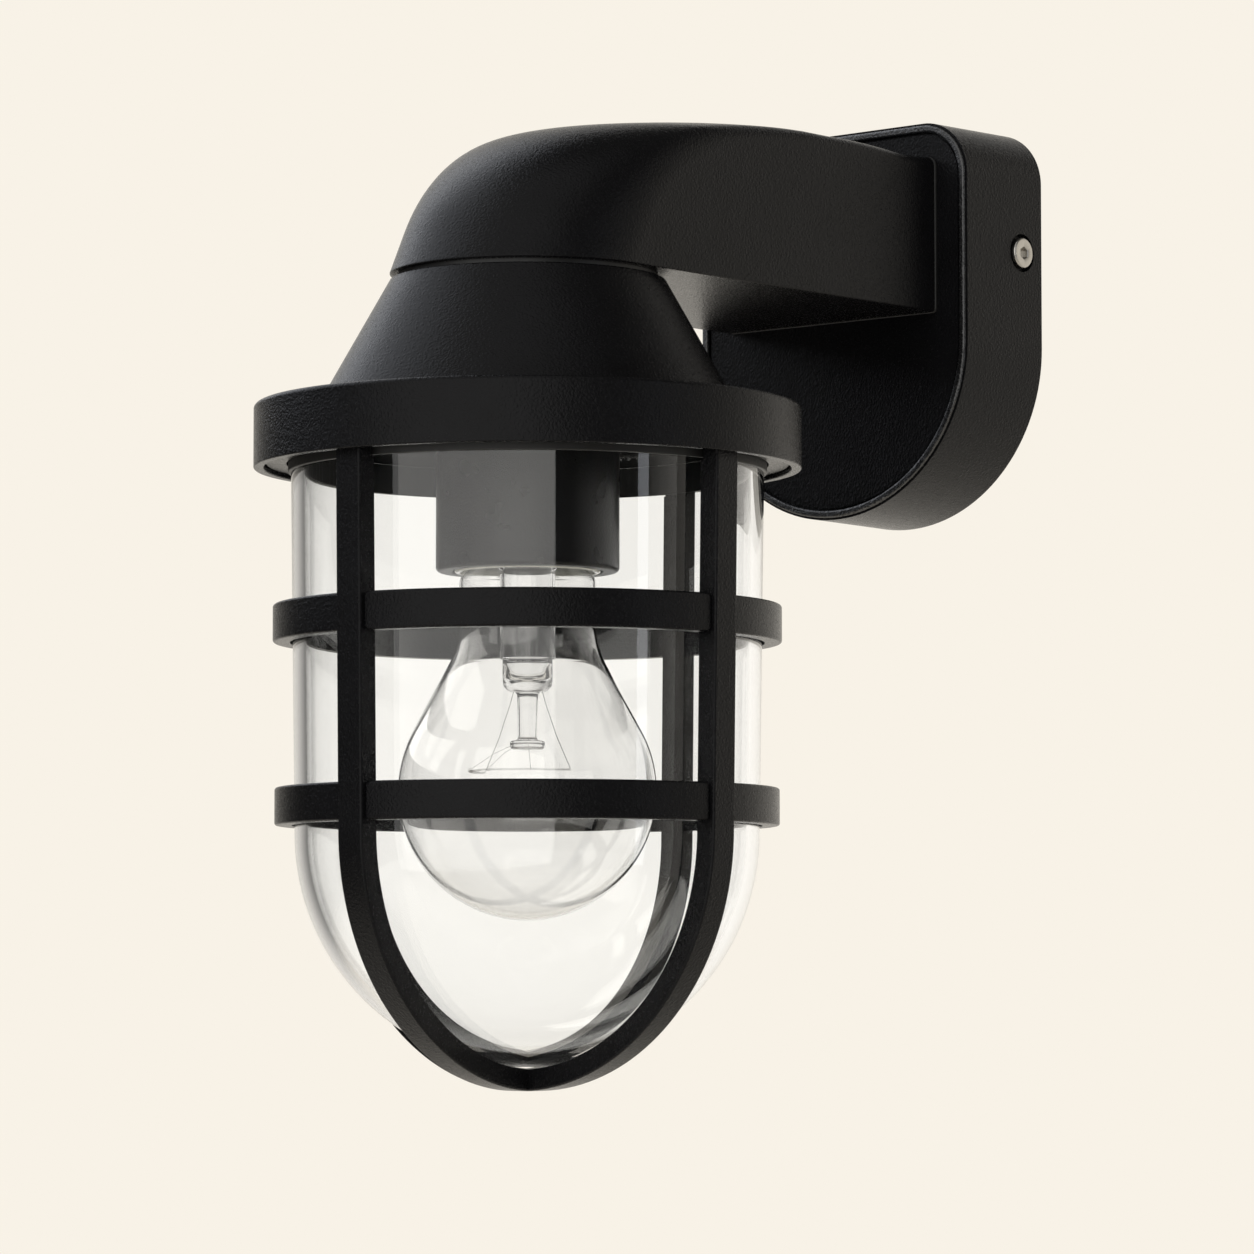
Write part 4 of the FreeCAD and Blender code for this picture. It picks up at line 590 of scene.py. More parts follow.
class WALLLIGHT_OT_cap(PieceOperator):
    """Turns the cap: a cone on a flange with a deep skirt"""
    bl_idname = "walllight.cap"
    bl_label = "Cap"

    def build(self, scene, finishes):
        sizes = scene.cap_sizes
        top, low = sizes.top / MM, sizes.bottom / MM
        deck = low + sizes.flange_height / MM
        rim, foot = sizes.flange_radius / MM, sizes.cone_radius / MM
        crown = sizes.top_radius / MM
        # The thickness of cone, skirt, deck and top.
        wall, skirt, plate, roof = 3.45, 2.4, 2.6, 3.0
        slope = (foot - crown) / (top - deck)
        section = [
            (HOLE, top),
            (crown, top, 0.8),
            (foot, deck, 2.5),
            (rim, deck, 1.1),
            (rim, low, 0.35),
            (rim - skirt, low, 0.35),
            (rim - skirt, deck - plate),
            (foot + plate * slope - wall, deck - plate),
            (crown + roof * slope - wall, top - roof),
            (HOLE, top - roof),
        ]
        make_piece(
            turned(section, steps=180), "cap", "fixture", ["head_cap"], "black_paint", finishes,
        )


class WALLLIGHT_OT_arm(PieceOperator):
    """Shapes the arm: flat sides, a crowned top and a round nose that leans back"""
    bl_idname = "walllight.arm"
    bl_label = "Arm"

    def build(self, scene, finishes):
        sizes = scene.arm_sizes
        low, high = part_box("arm")
        self.half = sizes.width / MM / 2
        self.edge = sizes.edge_radius / MM
        self.foot = low.z / MM
        self.end = (high.y - LAMP.y) / MM
        # The crown levels out before the box: by how much, and over what length.
        self.level_out, self.level_length = 2.0, 14.0
        rows = self.side_view(sizes)
        across = self.columns()
        bm = bmesh.new()
        bmesh.ops.create_grid(bm, x_segments=len(across) - 1, y_segments=len(rows) - 1, size=0.5)
        for vert in bm.verts:
            column = round((vert.co.x + 0.5) * (len(across) - 1))
            row = round((vert.co.y + 0.5) * (len(rows) - 1))
            vert.co = self.skin(across[column], rows[row])
        self.close(bm)
        lower = edges_with(bm, lambda co: abs(co.z / MM - self.foot) < 0.01)
        lower = [e for e in lower if any(v.co.y < high.y - 0.1 * MM for v in e.verts)]
        bevel(bm, lower, 0.6, 3)
        bevel(bm, edges_with(bm, lambda co: co.y > high.y - 0.001 * MM), 0.8, 3)
        heal(bm)
        make_piece(bm, "arm_casting", "fixture", ["arm"], "black_paint", finishes)
        make_piece(
            self.foot_seal(), "foot_seal", "fixture", ["arm_gasket"], "seal_rubber", finishes,
        )

    def foot_seal(self):
        """The seal at the arm's foot: it stands proud, and its round front edge catches light."""
        low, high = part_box("arm_gasket")
        proud, corner = 0.4, 1.2
        side, bottom = high.x / MM + proud, low.z / MM - proud
        top = high.z / MM + self.level_out + proud

        def front(x, height):
            return Vector((x * MM, low.y, height * MM))

        bm = bmesh.new()
        draw(bm, [
            (0.0, bottom), (side, bottom, corner), (side, top, self.edge + proud),
            (-side, top, self.edge + proud), (-side, bottom, corner),
        ], front)
        thicken(bm, (0, high.y - low.y, 0))
        bevel(bm, edges_with(bm, lambda co: co.y < low.y + 0.001 * MM), 0.35, 3)
        heal(bm)
        return bm

    def side_view(self, sizes):
        """Rows of the skin from the nose's foot to the box: (back, height, slope, tail's share)."""
        lean, bend, crown = sizes.lean, sizes.nose_radius / MM, sizes.crown_radius / MM
        back, height, rise = 0.6, self.foot, 10.2
        meet, stop = math.radians(9.4), math.radians(1.5)
        rows = []
        for step in range(5):
            up = rise * step / 5
            rows.append((back + up * math.tan(lean), height + up, math.pi / 2 - lean, 0.0))
        back += rise * math.tan(lean)
        height += rise
        arcs = ((bend, math.pi / 2 - lean, meet, 22), (crown, meet, stop, 8))
        for radius, slope, last, count in arcs:
            for step in range(count):
                now = slope + (last - slope) * step / count
                rows.append((
                    back + radius * (math.sin(slope) - math.sin(now)),
                    height + radius * (math.cos(now) - math.cos(slope)), now, 0.0,
                ))
            back += radius * (math.sin(slope) - math.sin(last))
            height += radius * (math.cos(last) - math.cos(slope))
        rows += [(back, height, 0.0, step / 24) for step in range(25)]
        self.crest = (back + crown * math.sin(stop), height - crown * math.cos(stop), crown)
        return rows

    def columns(self):
        """Places across the arm, close together where its upper edges are rounded."""
        inner = self.half - self.edge
        sweep = math.asin(inner / self.half)
        right = [self.half * math.sin(sweep * step / 18) for step in range(18)]
        right += [inner + self.edge * math.sin(math.pi / 2 * step / 7) for step in range(8)]
        return [-x for x in right[:0:-1]] + right

    def skin(self, x, row):
        """A point of the outer skin."""
        back, height, slope, share = row
        front = back - math.sqrt(max(0.0, self.half ** 2 - x ** 2))
        out = max(0.0, abs(x) - self.half + self.edge)
        drop = self.edge - math.sqrt(max(0.0, self.edge ** 2 - out ** 2))
        fade = min(1.0, max(0.0, (math.radians(60) - slope) / math.radians(30)))
        if share > 0:
            front += (self.end - front) * share
            middle, level, radius = self.crest
            if front > back:
                height = level + math.sqrt(radius ** 2 - (front - middle) ** 2)
                near = max(0.0, front - self.end + self.level_length) / self.level_length
                height += self.level_out * near ** 2
        return LAMP + Vector((x, front, height - drop * fade)) * MM

    def close(self, bm):
        """Adds the two flat sides, the underside and the end against the box."""
        corners = []
        for side in (-1, 1):
            corner = bm.verts.new(LAMP + Vector((side * self.half, self.end, self.foot)) * MM)
            edge_verts = [v for v in bm.verts if abs(v.co.x - side * self.half * MM) < TOUCH]
            front = min(edge_verts, key=lambda v: (v.co.z, v.co.y))
            last = [v for v in edge_verts if v.co.y > corner.co.y - TOUCH]
            top = max(last, key=lambda v: v.co.z)
            bm.edges.new((front, corner))
            bm.edges.new((top, corner))
            corners.append(corner)
        bm.edges.new(corners)
        bmesh.ops.holes_fill(bm, edges=[e for e in bm.edges if e.is_boundary or e.is_wire], sides=0)


class WALLLIGHT_OT_cage(PieceOperator):
    """Casts the cage: threaded ring, crossed bars and two hoops"""
    bl_idname = "walllight.cage"
    bl_label = "Cage"

    def build(self, scene, finishes):
        sizes, glass = scene.cage_sizes, scene.glass_sizes
        self.centre = glass.centre / MM
        self.inner = glass.radius / MM + 0.5
        self.outer = self.inner + sizes.bar_depth / MM
        self.half = sizes.bar_width / MM / 2
        make_piece(self.ring(), "cage_collar", "cage", ["cage_ring"], "black_paint", finishes)
        make_piece(self.bars(), "cage_arches", "cage", ["cage_bars"], "black_paint", finishes)
        for node in ("upper_hoop", "lower_hoop"):
            low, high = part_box(node)
            form = self.hoop(low.z / MM, high.z / MM, sizes.hoop_set_in / MM)
            make_piece(form, node + "_casting", "cage", [node], "black_paint", finishes)

    def ring(self):
        """The collar, with the shallow thread that holds it in the flange."""
        low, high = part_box("cage_ring")
        out, top = high.x / MM, high.z / MM
        # The lip that shows under the flange, the depth and height of the ledge under the glass,
        # and the wall above it.
        lip, ledge, shelf, wall = 1.2, 4.92, 3.8, 2.02
        pitch, groove = 1.7, 0.35
        bottom = low.z / MM - lip
        section = [(out - ledge, bottom), (out, bottom, 0.4)]
        for turn in range(5):
            start = bottom + 1.4 + turn * pitch
            section += [
                (out, start), (out - groove, start + 0.5), (out - groove, start + 0.8),
                (out, start + 1.3),
            ]
        section += [
            (out, top, 0.3), (out - wall, top), (out - wall, bottom + shelf),
            (out - ledge, bottom + shelf),
        ]
        return turned(section)

    def bars(self):
        """A quarter bar with a mitred foot, copied round the lamp axis and joined at the pole."""
        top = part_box("cage_bars")[1].z / MM
        # The bar's top is a little thinner: over what height, and how deep it is there.
        neck, deep = 3.7, 4.55
        out = self.outer + (top - self.centre) * DRAFT
        into = self.inner + (top - neck - self.centre) * DRAFT
        section = [
            (0.0, self.centre - self.outer),
            ("arc", 0.0, self.centre, 90.0),
            (out, top),
            (out - deep, top),
            (out - deep, top - neck),
            (into, top - neck),
            (self.inner, self.centre),
            ("arc", 0.0, self.centre, -90.0),
        ]
        bm = bmesh.new()
        draw(bm, section, lamp_plane)
        bmesh.ops.translate(bm, verts=bm.verts, vec=(0, -self.half * MM, 0))
        thicken(bm, (0, 2 * self.half * MM, 0))
        bmesh.ops.recalc_face_normals(bm, faces=bm.faces)

        def on_side(co, face):
            reach = math.hypot(co.x / MM, min(0.0, co.z / MM - self.centre))
            on_face = reach > self.outer - 1.0
            return on_face == face and abs(abs(co.y - LAMP.y) - self.half * MM) < TOUCH

        for face, radius, segments in ((True, 0.55, 4), (False, 0.35, 2)):
            along = [e for e in edges_with(bm, lambda co: on_side(co, face)) if level(e, 1)]
            bevel(bm, along, radius, segments)
        for side in (-1, 1):
            bmesh.ops.bisect_plane(
                bm, geom=everything(bm), dist=TOUCH, plane_co=LAMP, plane_no=(-1, side, 0),
                clear_outer=True,
            )
        four_times(bm)
        return bm

    def hoop(self, low, high, set_in):
        """Four arcs between the bars, their ends rounded off where they meet the bars."""
        middle = (low + high) / 2
        out = self.outer + (middle - self.centre) * DRAFT - set_in
        into = self.inner + (high - self.centre) * DRAFT
        bm = bmesh.new()
        draw(bm, [(into, low), (out, low), (out, high), (into, high)], lamp_plane)
        bmesh.ops.contextual_create(bm, geom=bm.edges[:])
        bmesh.ops.spin(
            bm, geom=bm.faces[:], cent=LAMP, axis=(0, 0, 1), angle=math.radians(90), steps=36,
        )
        gap = self.half + 0.02
        for normal in ((-1, 0, 0), (0, -1, 0)):
            cut = bmesh.ops.bisect_plane(
                bm, geom=everything(bm), dist=TOUCH, plane_no=normal, clear_outer=True,
                plane_co=LAMP + Vector((gap, gap, 0)) * MM,
            )
            rim = [e for e in cut["geom_cut"] if isinstance(e, bmesh.types.BMEdge)]
            bmesh.ops.contextual_create(bm, geom=rim)
        heal(bm)
        ends = [
            e for e in bm.edges
            if level(e, 2) and any(
                all(abs((v.co - LAMP)[axis] - gap * MM) < TOUCH for v in e.verts) for axis in (0, 1)
            )
        ]
        bevel(bm, ends, 1.2, 4)
        # The rim of the outer face is every edge that now lies at the full radius.
        rim = [
            e for e in edges_with(bm, lambda co: abs((co - LAMP).xy.length - out * MM) < 2e-5)
            if len(e.link_faces) == 2 and e.calc_face_angle(0.0) > math.radians(50)
        ]
        bevel(bm, rim, 0.6, 4)
        four_times(bm)
        return bm


class WALLLIGHT_OT_glass(PieceOperator):
    """Presses the glass dome and wraps its gasket round the rim"""
    bl_idname = "walllight.glass"
    bl_label = "Glass dome"

    def build(self, scene, finishes):
        sizes = scene.glass_sizes
        radius, wall, centre = sizes.radius / MM, sizes.wall / MM, sizes.centre / MM
        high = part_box("glass_dome")[1]
        top, lip = high.z / MM, high.x / MM
        lip_height, fit = 3.4, 0.6
        under = top - lip_height
        side = radius + (under - centre) * DRAFT
        inside = radius + (top - centre) * DRAFT - wall
        section = [
            (0.0, centre - radius),
            ("arc", 0.0, centre, 90.0),
            (side, under, 0.5),
            (lip, under, 0.6),
            (lip, top, 0.8),
            (inside, top, 0.8),
            (radius - wall, centre),
            ("arc", 0.0, centre, -90.0),
        ]
        make_piece(
            turned(section, closed=False, steps=180), "glass_bowl", "glass", ["glass_dome"],
            "clear_glass", finishes, weighted=False,
        )
        low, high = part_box("glass_gasket")
        ledge, out = under - 0.9, high.x / MM
        hem = low.z / MM
        sleeve = side + fit
        section = [
            (inside + fit, top), (lip, top), (lip, under), (side, under),
            (side - (under - hem) * DRAFT, hem), (sleeve, hem, 0.25), (sleeve, ledge, 0.3),
            (out, ledge, 0.4), (out, high.z / MM, 0.5), (inside + fit, high.z / MM, 0.4),
        ]
        make_piece(turned(section), "rim_seal", "glass", ["glass_gasket"], "seal_rubber", finishes)


class WALLLIGHT_OT_holder(PieceOperator):
    """Spins the lampholder's sleeve and its white ceramic"""
    bl_idname = "walllight.holder"
    bl_label = "Lampholder"

    def build(self, scene, finishes):
        low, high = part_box("lampholder_sleeve")
        out, top, bottom = high.x / MM, high.z / MM, low.z / MM
        sheet, lip = 1.1, 3.9
        section = [
            (HOLE, top), (out, top, 0.4), (out, bottom, 1.1), (out - lip, bottom, 0.4),
            (out - lip, bottom + sheet, 0.4), (out - sheet, bottom + sheet),
            (out - sheet, top - sheet), (HOLE, top - sheet),
        ]
        make_piece(
            turned(section), "sleeve", "fixture", ["lampholder_sleeve"],
            "black_paint", finishes, look="sleeve_enamel",
        )
        low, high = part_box("lampholder_ceramic")
        body, crown, foot = high.x / MM, high.z / MM, low.z / MM
        # A short spigot fills the lip of the sleeve: from below it shows as a pale ring.
        spigot, bore = out - 4.4, 13.9
        section = [
            (bore, crown), (body, crown, 0.8), (body, foot, 0.5), (spigot, foot),
            (spigot, bottom - 0.2, 0.5), (spigot - 1.1, bottom - 0.2, 0.4),
            (bore + 0.6, foot - 0.2),
            (bore, foot + 1.6, 1.0),
        ]
        make_piece(
            turned(section), "holder_ceramic", "fixture", ["lampholder_ceramic"], "ceramic",
            finishes,
        )


class WALLLIGHT_OT_bulb(PieceOperator):
    """Blows the clear bulb and makes its stem, wires, filament and screw cap"""
    bl_idname = "walllight.bulb"
    bl_label = "Bulb"
    # The hooks that carry the filament stand this far from the lamp axis.
    HOOKS = 13.4

    def build(self, scene, finishes):
        sizes = scene.bulb_sizes
        wires = self.wires(sizes.wire / MM)
        for form, name, node, slot, settings in (
            (self.envelope(sizes), "bulb_globe", "bulb_envelope", "bulb_glass", {}),
            (self.screw_cap(), "bulb_screw_cap", "bulb_cap", "nickel", {"weighted": True}),
            (self.stem(), "bulb_mount", "bulb_stem", "bulb_glass", {}),
            (wires, "bulb_lead_wires", "bulb_wires", "tungsten", {"sharp": 80.0}),
            (self.coil(), "bulb_filament", "filament", "tungsten", {"sharp": 80.0}),
        ):
            settings = {"weighted": False, **settings}
            make_piece(form, name, "bulb", [node], slot, finishes, **settings)

    def envelope(self, sizes):
        """Globe, straight shoulder, and the neck that closes into the cap."""
        globe, centre = sizes.globe_radius / MM, sizes.centre / MM
        low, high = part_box("bulb_cap")
        rim, top = low.z / MM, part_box("bulb_envelope")[1].z / MM
        wall, slope, neck, bend = 0.7, math.radians(28.0), 16.1, 20.0
        in_cap = high.x / MM - 0.5
        shoulder = (globe * math.cos(slope), centre + globe * math.sin(slope))
        end = neck + bend * (1 - math.cos(slope))
        foot = shoulder[1] + (shoulder[0] - end) / math.tan(slope) + bend * math.sin(slope)
        hub = (neck + bend, foot)
        section = [
            (0.0, centre - globe),
            ("arc", 0.0, centre, 90 + math.degrees(slope)),
            (hub[0] - bend * math.cos(slope), hub[1] - bend * math.sin(slope)),
            ("arc", *hub, -math.degrees(slope)),
            (neck, rim - 3.8, 3.0),
            (in_cap, rim, 2.0),
            (in_cap, top),
            (in_cap - wall, top),
            (in_cap - wall, rim, 1.5),
            (neck - wall, rim - 3.8, 2.5),
            (neck - wall, foot),
            ("arc", *hub, math.degrees(slope)),
            ((globe - wall) * math.cos(slope), centre + (globe - wall) * math.sin(slope)),
            ("arc", 0.0, centre, -90 - math.degrees(slope)),
        ]
        return turned(section, closed=False)

    def screw_cap(self):
        """The plated cap with its rounded thread, rolled out of thin sheet."""
        low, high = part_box("bulb_cap")
        out, bottom, top = high.x / MM, low.z / MM, high.z / MM
        section = [(out - 0.5, bottom), (out, bottom, 0.2)]
        pitch, depth = 3.63, 0.9
        for turn in range(4):
            start = bottom + 1.6 + turn * pitch
            section += [(out, start, 0.9), (out - depth, start + pitch / 2, 0.9)]
        section += [
            (out, top - 2.6, 0.8), (out - 0.4, top - 1.0, 0.8), (9.0, top, 0.5), (9.0, top - 0.5),
            (out - 1.6, top - 0.7), (out - 1.6, bottom + 1.0),
        ]
        return turned(section, steps=96)

    def stem(self):
        """Flared tube, flattened press, rod and button, all one piece of clear glass."""
        low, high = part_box("bulb_stem")
        top, tip = high.z / MM, low.z / MM
        flare = 11.9
        collar, cup, button = tip + 21.0, tip + 13.4, tip + 2.4
        section = [
            (flare, top),
            (flare, top - 0.9),
            (6.5, top - 6.8, 3.0),
            (6.5, collar, 0.4),
            (5.9, collar, 0.2),
            (5.9, cup, 2.6),
            (2.5, cup, 0.9),
            (2.2, button, 0.7),
            (4.2, tip + 1.9, 0.5),
            (3.9, tip, 0.8),
            (0.0, tip),
            (0.0, cup + 2.8),
            (3.6, cup + 2.2, 1.6),
            (5.0, collar - 1.0, 2.0),
            (5.6, top - 6.6, 3.0),
            (flare - 0.9, top),
        ]
        return turned(section, steps=72)

    def tube(self, bm, points, radius, sides=8):
        """A round wire through points: short rods with a ball at each joint."""
        for start, end in zip(points, points[1:]):
            way = end - start
            turn = Vector((0, 0, 1)).rotation_difference(way).to_matrix().to_4x4()
            place = Matrix.Translation((start + end) / 2) @ turn
            bmesh.ops.create_cone(
                bm, cap_ends=True, segments=sides, radius1=radius * MM, radius2=radius * MM,
                depth=way.length, matrix=place,
            )
            bmesh.ops.create_uvsphere(
                bm, u_segments=sides, v_segments=4, radius=radius * MM,
                matrix=Matrix.Translation(end),
            )

    def around(self, out, degrees, height):
        """A point by its distance and angle about the lamp axis and its height."""
        angle = math.radians(degrees)
        return LAMP + Vector((out * math.cos(angle), out * math.sin(angle), height)) * MM

    def wires(self, radius):
        """Two lead-in wires, and three supports that end in a small hook round the filament."""
        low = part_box("bulb_wires")[0].z / MM
        bm = bmesh.new()
        for angle in (0, 180):
            spots = ((4.4, low + 19.0), (5.4, low + 16.0), (9.0, low + 8.0), (13.3, low + 0.2))
            self.tube(bm, [self.around(out, angle, height) for out, height in spots], radius)
        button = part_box("bulb_stem")[0].z / MM + 1.1
        for angle in (225, 270, 315):
            spots = [(3.4, button), (8.0, button - 2.2), (12.9, low + 0.5)]
            points = [self.around(out, angle, height) for out, height in spots]
            hook = self.around(self.HOOKS, angle, low)
            for step in range(7):
                turn = math.radians(130 - 52 * step)
                points.append(hook + (self.around(1, angle, 0) - LAMP) * 0.5 * math.cos(turn)
                              + Vector((0, 0, 0.5 * MM * math.sin(turn))))
            self.tube(bm, points, radius * 0.7, 6)
        return bm

    def coil(self):
        """The coiled filament: a helix of fine wire that hangs from hook to hook."""
        low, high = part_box("filament")
        middle = (low.z + high.z) / 2 / MM
        turns, per_turn, winding, wire = 110, 8, 0.24, 0.055
        points = []
        for step in range(turns * per_turn + 1):
            share = step / (turns * per_turn)
            degrees = 180 + 180 * share
            sag = 0.12 * math.sin(math.pi * 4 * share) ** 2
            spin = math.tau * step / per_turn
            out = self.HOOKS + winding * math.cos(spin)
            points.append(self.around(out, degrees, middle - sag + winding * math.sin(spin)))
        bm = bmesh.new()
        ring = bmesh.ops.create_circle(
            bm, segments=4, radius=wire * MM, matrix=Matrix.Translation(points[0])
        )["verts"]
        edges = list({e for v in ring for e in v.link_edges})
        for start, end in zip(points, points[1:]):
            grown = bmesh.ops.extrude_edge_only(bm, edges=edges)["geom"]
            verts = verts_in(grown)
            edges = [
                e for e in grown
                if isinstance(e, bmesh.types.BMEdge) and all(v in verts for v in e.verts)
            ]
            bmesh.ops.translate(bm, verts=verts, vec=end - start)
        heal(bm)
        return bm


class WALLLIGHT_OT_screws(PieceOperator):
    """Turns the two socket screws in the sides of the box"""
    bl_idname = "walllight.screws"
    bl_label = "Side screws"

    def build(self, scene, finishes):
        low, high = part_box("side_screws")
        middle = Vector((0.0, (low.y + high.y) / 2, (low.z + high.z) / 2))
        face = high.x / MM
        radius = (high.z - low.z) / MM / 2
        # Radius and depth of the socket's pilot, half the hexagon's width, the head's height.
        pilot, flat, head = 1.3, 1.38, 2.2
        shank, end = 2.0, face - 14.2

        def place(out, along):
            return middle + Vector((along, 0.0, out)) * MM

        section = [
            (0.0, face - pilot), (pilot, face - pilot), (pilot, face - 0.15), (pilot + 0.2, face),
            (radius, face, 0.5), (radius, face - head, 0.1), (shank, face - head),
            (shank, end + 0.2), (shank - 0.4, end), (0.0, end),
        ]
        bm = turned(section, closed=False, steps=72, place=place, centre=middle, axis=(1, 0, 0))
        # The round pilot becomes a hexagon for the key.
        for vert in bm.verts:
            out = Vector((vert.co.y - middle.y, vert.co.z - middle.z)) / MM
            in_pilot = pilot - 0.05 < out.length < pilot + 0.25
            if in_pilot and vert.co.x / MM > face - pilot - 0.1:
                sector = math.remainder(math.atan2(out.y, out.x), math.radians(60))
                scale = flat / (pilot * math.cos(sector))
                vert.co.y = middle.y + out.x * scale * MM
                vert.co.z = middle.z + out.y * scale * MM
        twin = bmesh.ops.duplicate(bm, geom=everything(bm))["geom"]
        bmesh.ops.scale(bm, vec=(-1, 1, 1), verts=verts_in(twin))
        heal(bm)
        make_piece(bm, "box_screws", "fixture", ["side_screws"], "stainless", finishes)


class WALLLIGHT_OT_fittings(PieceOperator):
    """Gives every machined, moulded and pressed fitting that keeps its CAD shape its finish"""
    bl_idname = "walllight.fittings"
    bl_label = "Fittings"

    def build(self, scene, finishes):
        slots = {part["node"]: part["material_slot"] for part in frame["record"]["subparts"]}
        for name, node in frame["nodes"].items():
            if not node.hide_render:
                for slot in node.material_slots:
                    slot.material = finishes[slots[name]]


# Every softbox: tint, azimuth and elevation in degrees, distance and size in metres, and its
# share of the key's power. Azimuth 0 is straight in front of the light.
SOFTBOXES = {
    # From left of the light to right of the camera: its right edge is the sharp upright line that
    # the glass lays over the sleeve.
    "front_softbox": ("#fffefc", 15.0, 8.0, 1.45, (2.5, 1.6), 1.0),
    # High on the far left, where it lights the round sides of cap and nose.
    "left_softbox": ("#f3f7ff", -80.0, 38.0, 1.3, (1.7, 1.2), 0.6),
    # High in front, for the cone and the nose.
    "top_softbox": ("#fffefc", 15.0, 60.0, 1.3, (1.6, 1.2), 0.25),
    # High behind the light, long and weak: a thin light line along every upper edge.
    "rear_softbox": ("#fffefc", 215.0, 40.0, 1.3, (1.6, 0.35), 0.05),
    # A slim one on the right, for the bead of the box and the seal at the arm's foot.
    "right_strip": ("#f3f7ff", 98.0, 8.0, 1.2, (0.12, 1.1), 0.06),
}


class WALLLIGHT_OT_stage(PieceOperator):
    """Sets up the floor, the soft studio light and the camera"""
    bl_idname = "walllight.stage"
    bl_label = "Stage"

    def build(self, scene, finishes):
        settings, finish = scene.stage_settings, scene.light_finish
        self.floor(settings, finish)
        self.world(scene, settings, finish)
        for name, (tint, *place, share) in SOFTBOXES.items():
            self.softbox(name, tint, *place, settings.softbox * share)
        self.camera(scene, settings)

    def floor(self, settings, finish):
        """A pale round floor that fades into the backdrop at its edge."""
        bm = bmesh.new()
        bmesh.ops.create_circle(
            bm, cap_ends=True, segments=96, radius=1.2,
            matrix=Matrix.Translation((0, LAMP.y, settings.floor_height)),
        )
        mesh = bpy.data.meshes.new("floor")
        bm.to_mesh(mesh)
        bm.free()
        material, tree, place = new_material("pale_matt_floor")
        centred = add(
            tree, "ShaderNodeMapping", {"Location": (0.0, -LAMP.y, -settings.floor_height)},
            {"Vector": place},
        )
        reach = add(tree, "ShaderNodeVectorMath", {"operation": "LENGTH"}, {0: centred})
        fade = add(
            tree, "ShaderNodeMapRange",
            {"From Min": 0.35, "From Max": 1.1, "interpolation_type": "SMOOTHSTEP"},
            {"Value": reach},
        )
        # From below the floor isn't there, so that the light shows from that side too.
        side = add(tree, "ShaderNodeNewGeometry").outputs["Backfacing"]
        gone = add(tree, "ShaderNodeMath", {"operation": "MAXIMUM"}, {0: fade, 1: side})
        grain, tone = mottled(tree, place, 2.0, finish.backdrop, "#faf5ec")
        surface(
            tree, {"Specular IOR Level": 0.1}, {"Base Color": tone},
            gloss=(grain, 0.8, 0.9), gone=(gone, "#ffffff"),
        )
        mesh.materials.append(material)
        floor = bpy.data.objects.new("floor", mesh)
        bpy.context.scene.collection.objects.link(floor)
        floor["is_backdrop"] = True

    def world(self, scene, settings, finish):
        """The pale backdrop, and what the metal mirrors: bright behind the light, dim before it."""
        world = bpy.data.worlds.new("studio")
        scene.world = world
        world.use_nodes = True
        tree = world.node_tree
        tree.nodes.clear()
        way = add(tree, "ShaderNodeTexCoord").outputs["Generated"]
        parts = add(tree, "ShaderNodeSeparateXYZ", {}, {0: way})
        # Bright behind, beside and below the light, less so above it.
        ranges = (("Y", 0.0, 0.8, 0.0, 1.0), ("Z", 0.25, 0.7, 1.0, 0.15))
        behind, beside = (
            add(
                tree, "ShaderNodeMapRange",
                {"From Min": start, "From Max": end, "To Min": low, "To Max": high,
                 "interpolation_type": "SMOOTHSTEP"},
                {"Value": parts.outputs[axis]},
            )
            for axis, start, end, low, high in ranges
        )
        lit = add(tree, "ShaderNodeMath", {"operation": "MULTIPLY"}, {0: behind, 1: beside})
        mirrored = add(tree, "ShaderNodeMath", {"operation": "MAXIMUM", 1: 0.03}, {0: lit})
        path, through = self.straight_through(tree)
        seen = add(
            tree, "ShaderNodeMath", {"operation": "MAXIMUM"},
            {0: path.outputs["Is Camera Ray"], 1: through},
        )
        lighting = add(
            tree, "ShaderNodeMix", {"data_type": "FLOAT", 3: settings.room},
            {0: path.outputs["Is Diffuse Ray"], 2: mirrored},
        )
        strength = add(
            tree, "ShaderNodeMix", {"data_type": "FLOAT", 3: 1.0}, {0: seen, 2: lighting}
        )
        inside = add(
            tree, "ShaderNodeMath", {"operation": "SUBTRACT"},
            {0: path.outputs["Is Transmission Ray"], 1: through},
        )
        for name in ("front_softbox", "left_softbox"):
            _, *place, share = SOFTBOXES[name]
            glow = self.softbox_inside(tree, way, *place, settings.softbox * share)
            glow = add(tree, "ShaderNodeMath", {"operation": "MULTIPLY"}, {0: glow, 1: inside})
            strength = add(tree, "ShaderNodeMath", {"operation": "MAXIMUM"}, {0: strength, 1: glow})
        # The glass gathers a whiter light than the bare backdrop shows, and its faces lose a part
        # of it again.
        gain = 1.09
        gathered = (*(gain * part for part in colour("#fdf9f3")[:3]), 1.0)
        tone = add(
            tree, "ShaderNodeMix",
            {"data_type": "RGBA", 6: colour(finish.backdrop), 7: gathered},
            {0: path.outputs["Is Transmission Ray"]},
        )
        ground = add(tree, "ShaderNodeBackground", {}, {"Color": tone, "Strength": strength})
        add(tree, "ShaderNodeOutputWorld", links={"Surface": ground})

    def straight_through(self, tree):
        """Light paths, and 1 for a ray that went straight through the glass."""
        path = add(tree, "ShaderNodeLightPath")
        straight = add(
            tree, "ShaderNodeMath", {"operation": "LESS_THAN", 1: 0.5},
            {0: path.outputs["Glossy Depth"]},
        )
        through = add(
            tree, "ShaderNodeMath", {"operation": "MULTIPLY"},
            {0: path.outputs["Is Transmission Ray"], 1: straight},
        )
        return path, through

    def towards(self, azimuth, elevation):
        """The way from the light to a softbox."""
        turn, rise = math.radians(azimuth), math.radians(elevation)
        return Vector((
            math.sin(turn) * math.cos(rise), -math.cos(turn) * math.cos(rise), math.sin(rise)
        ))

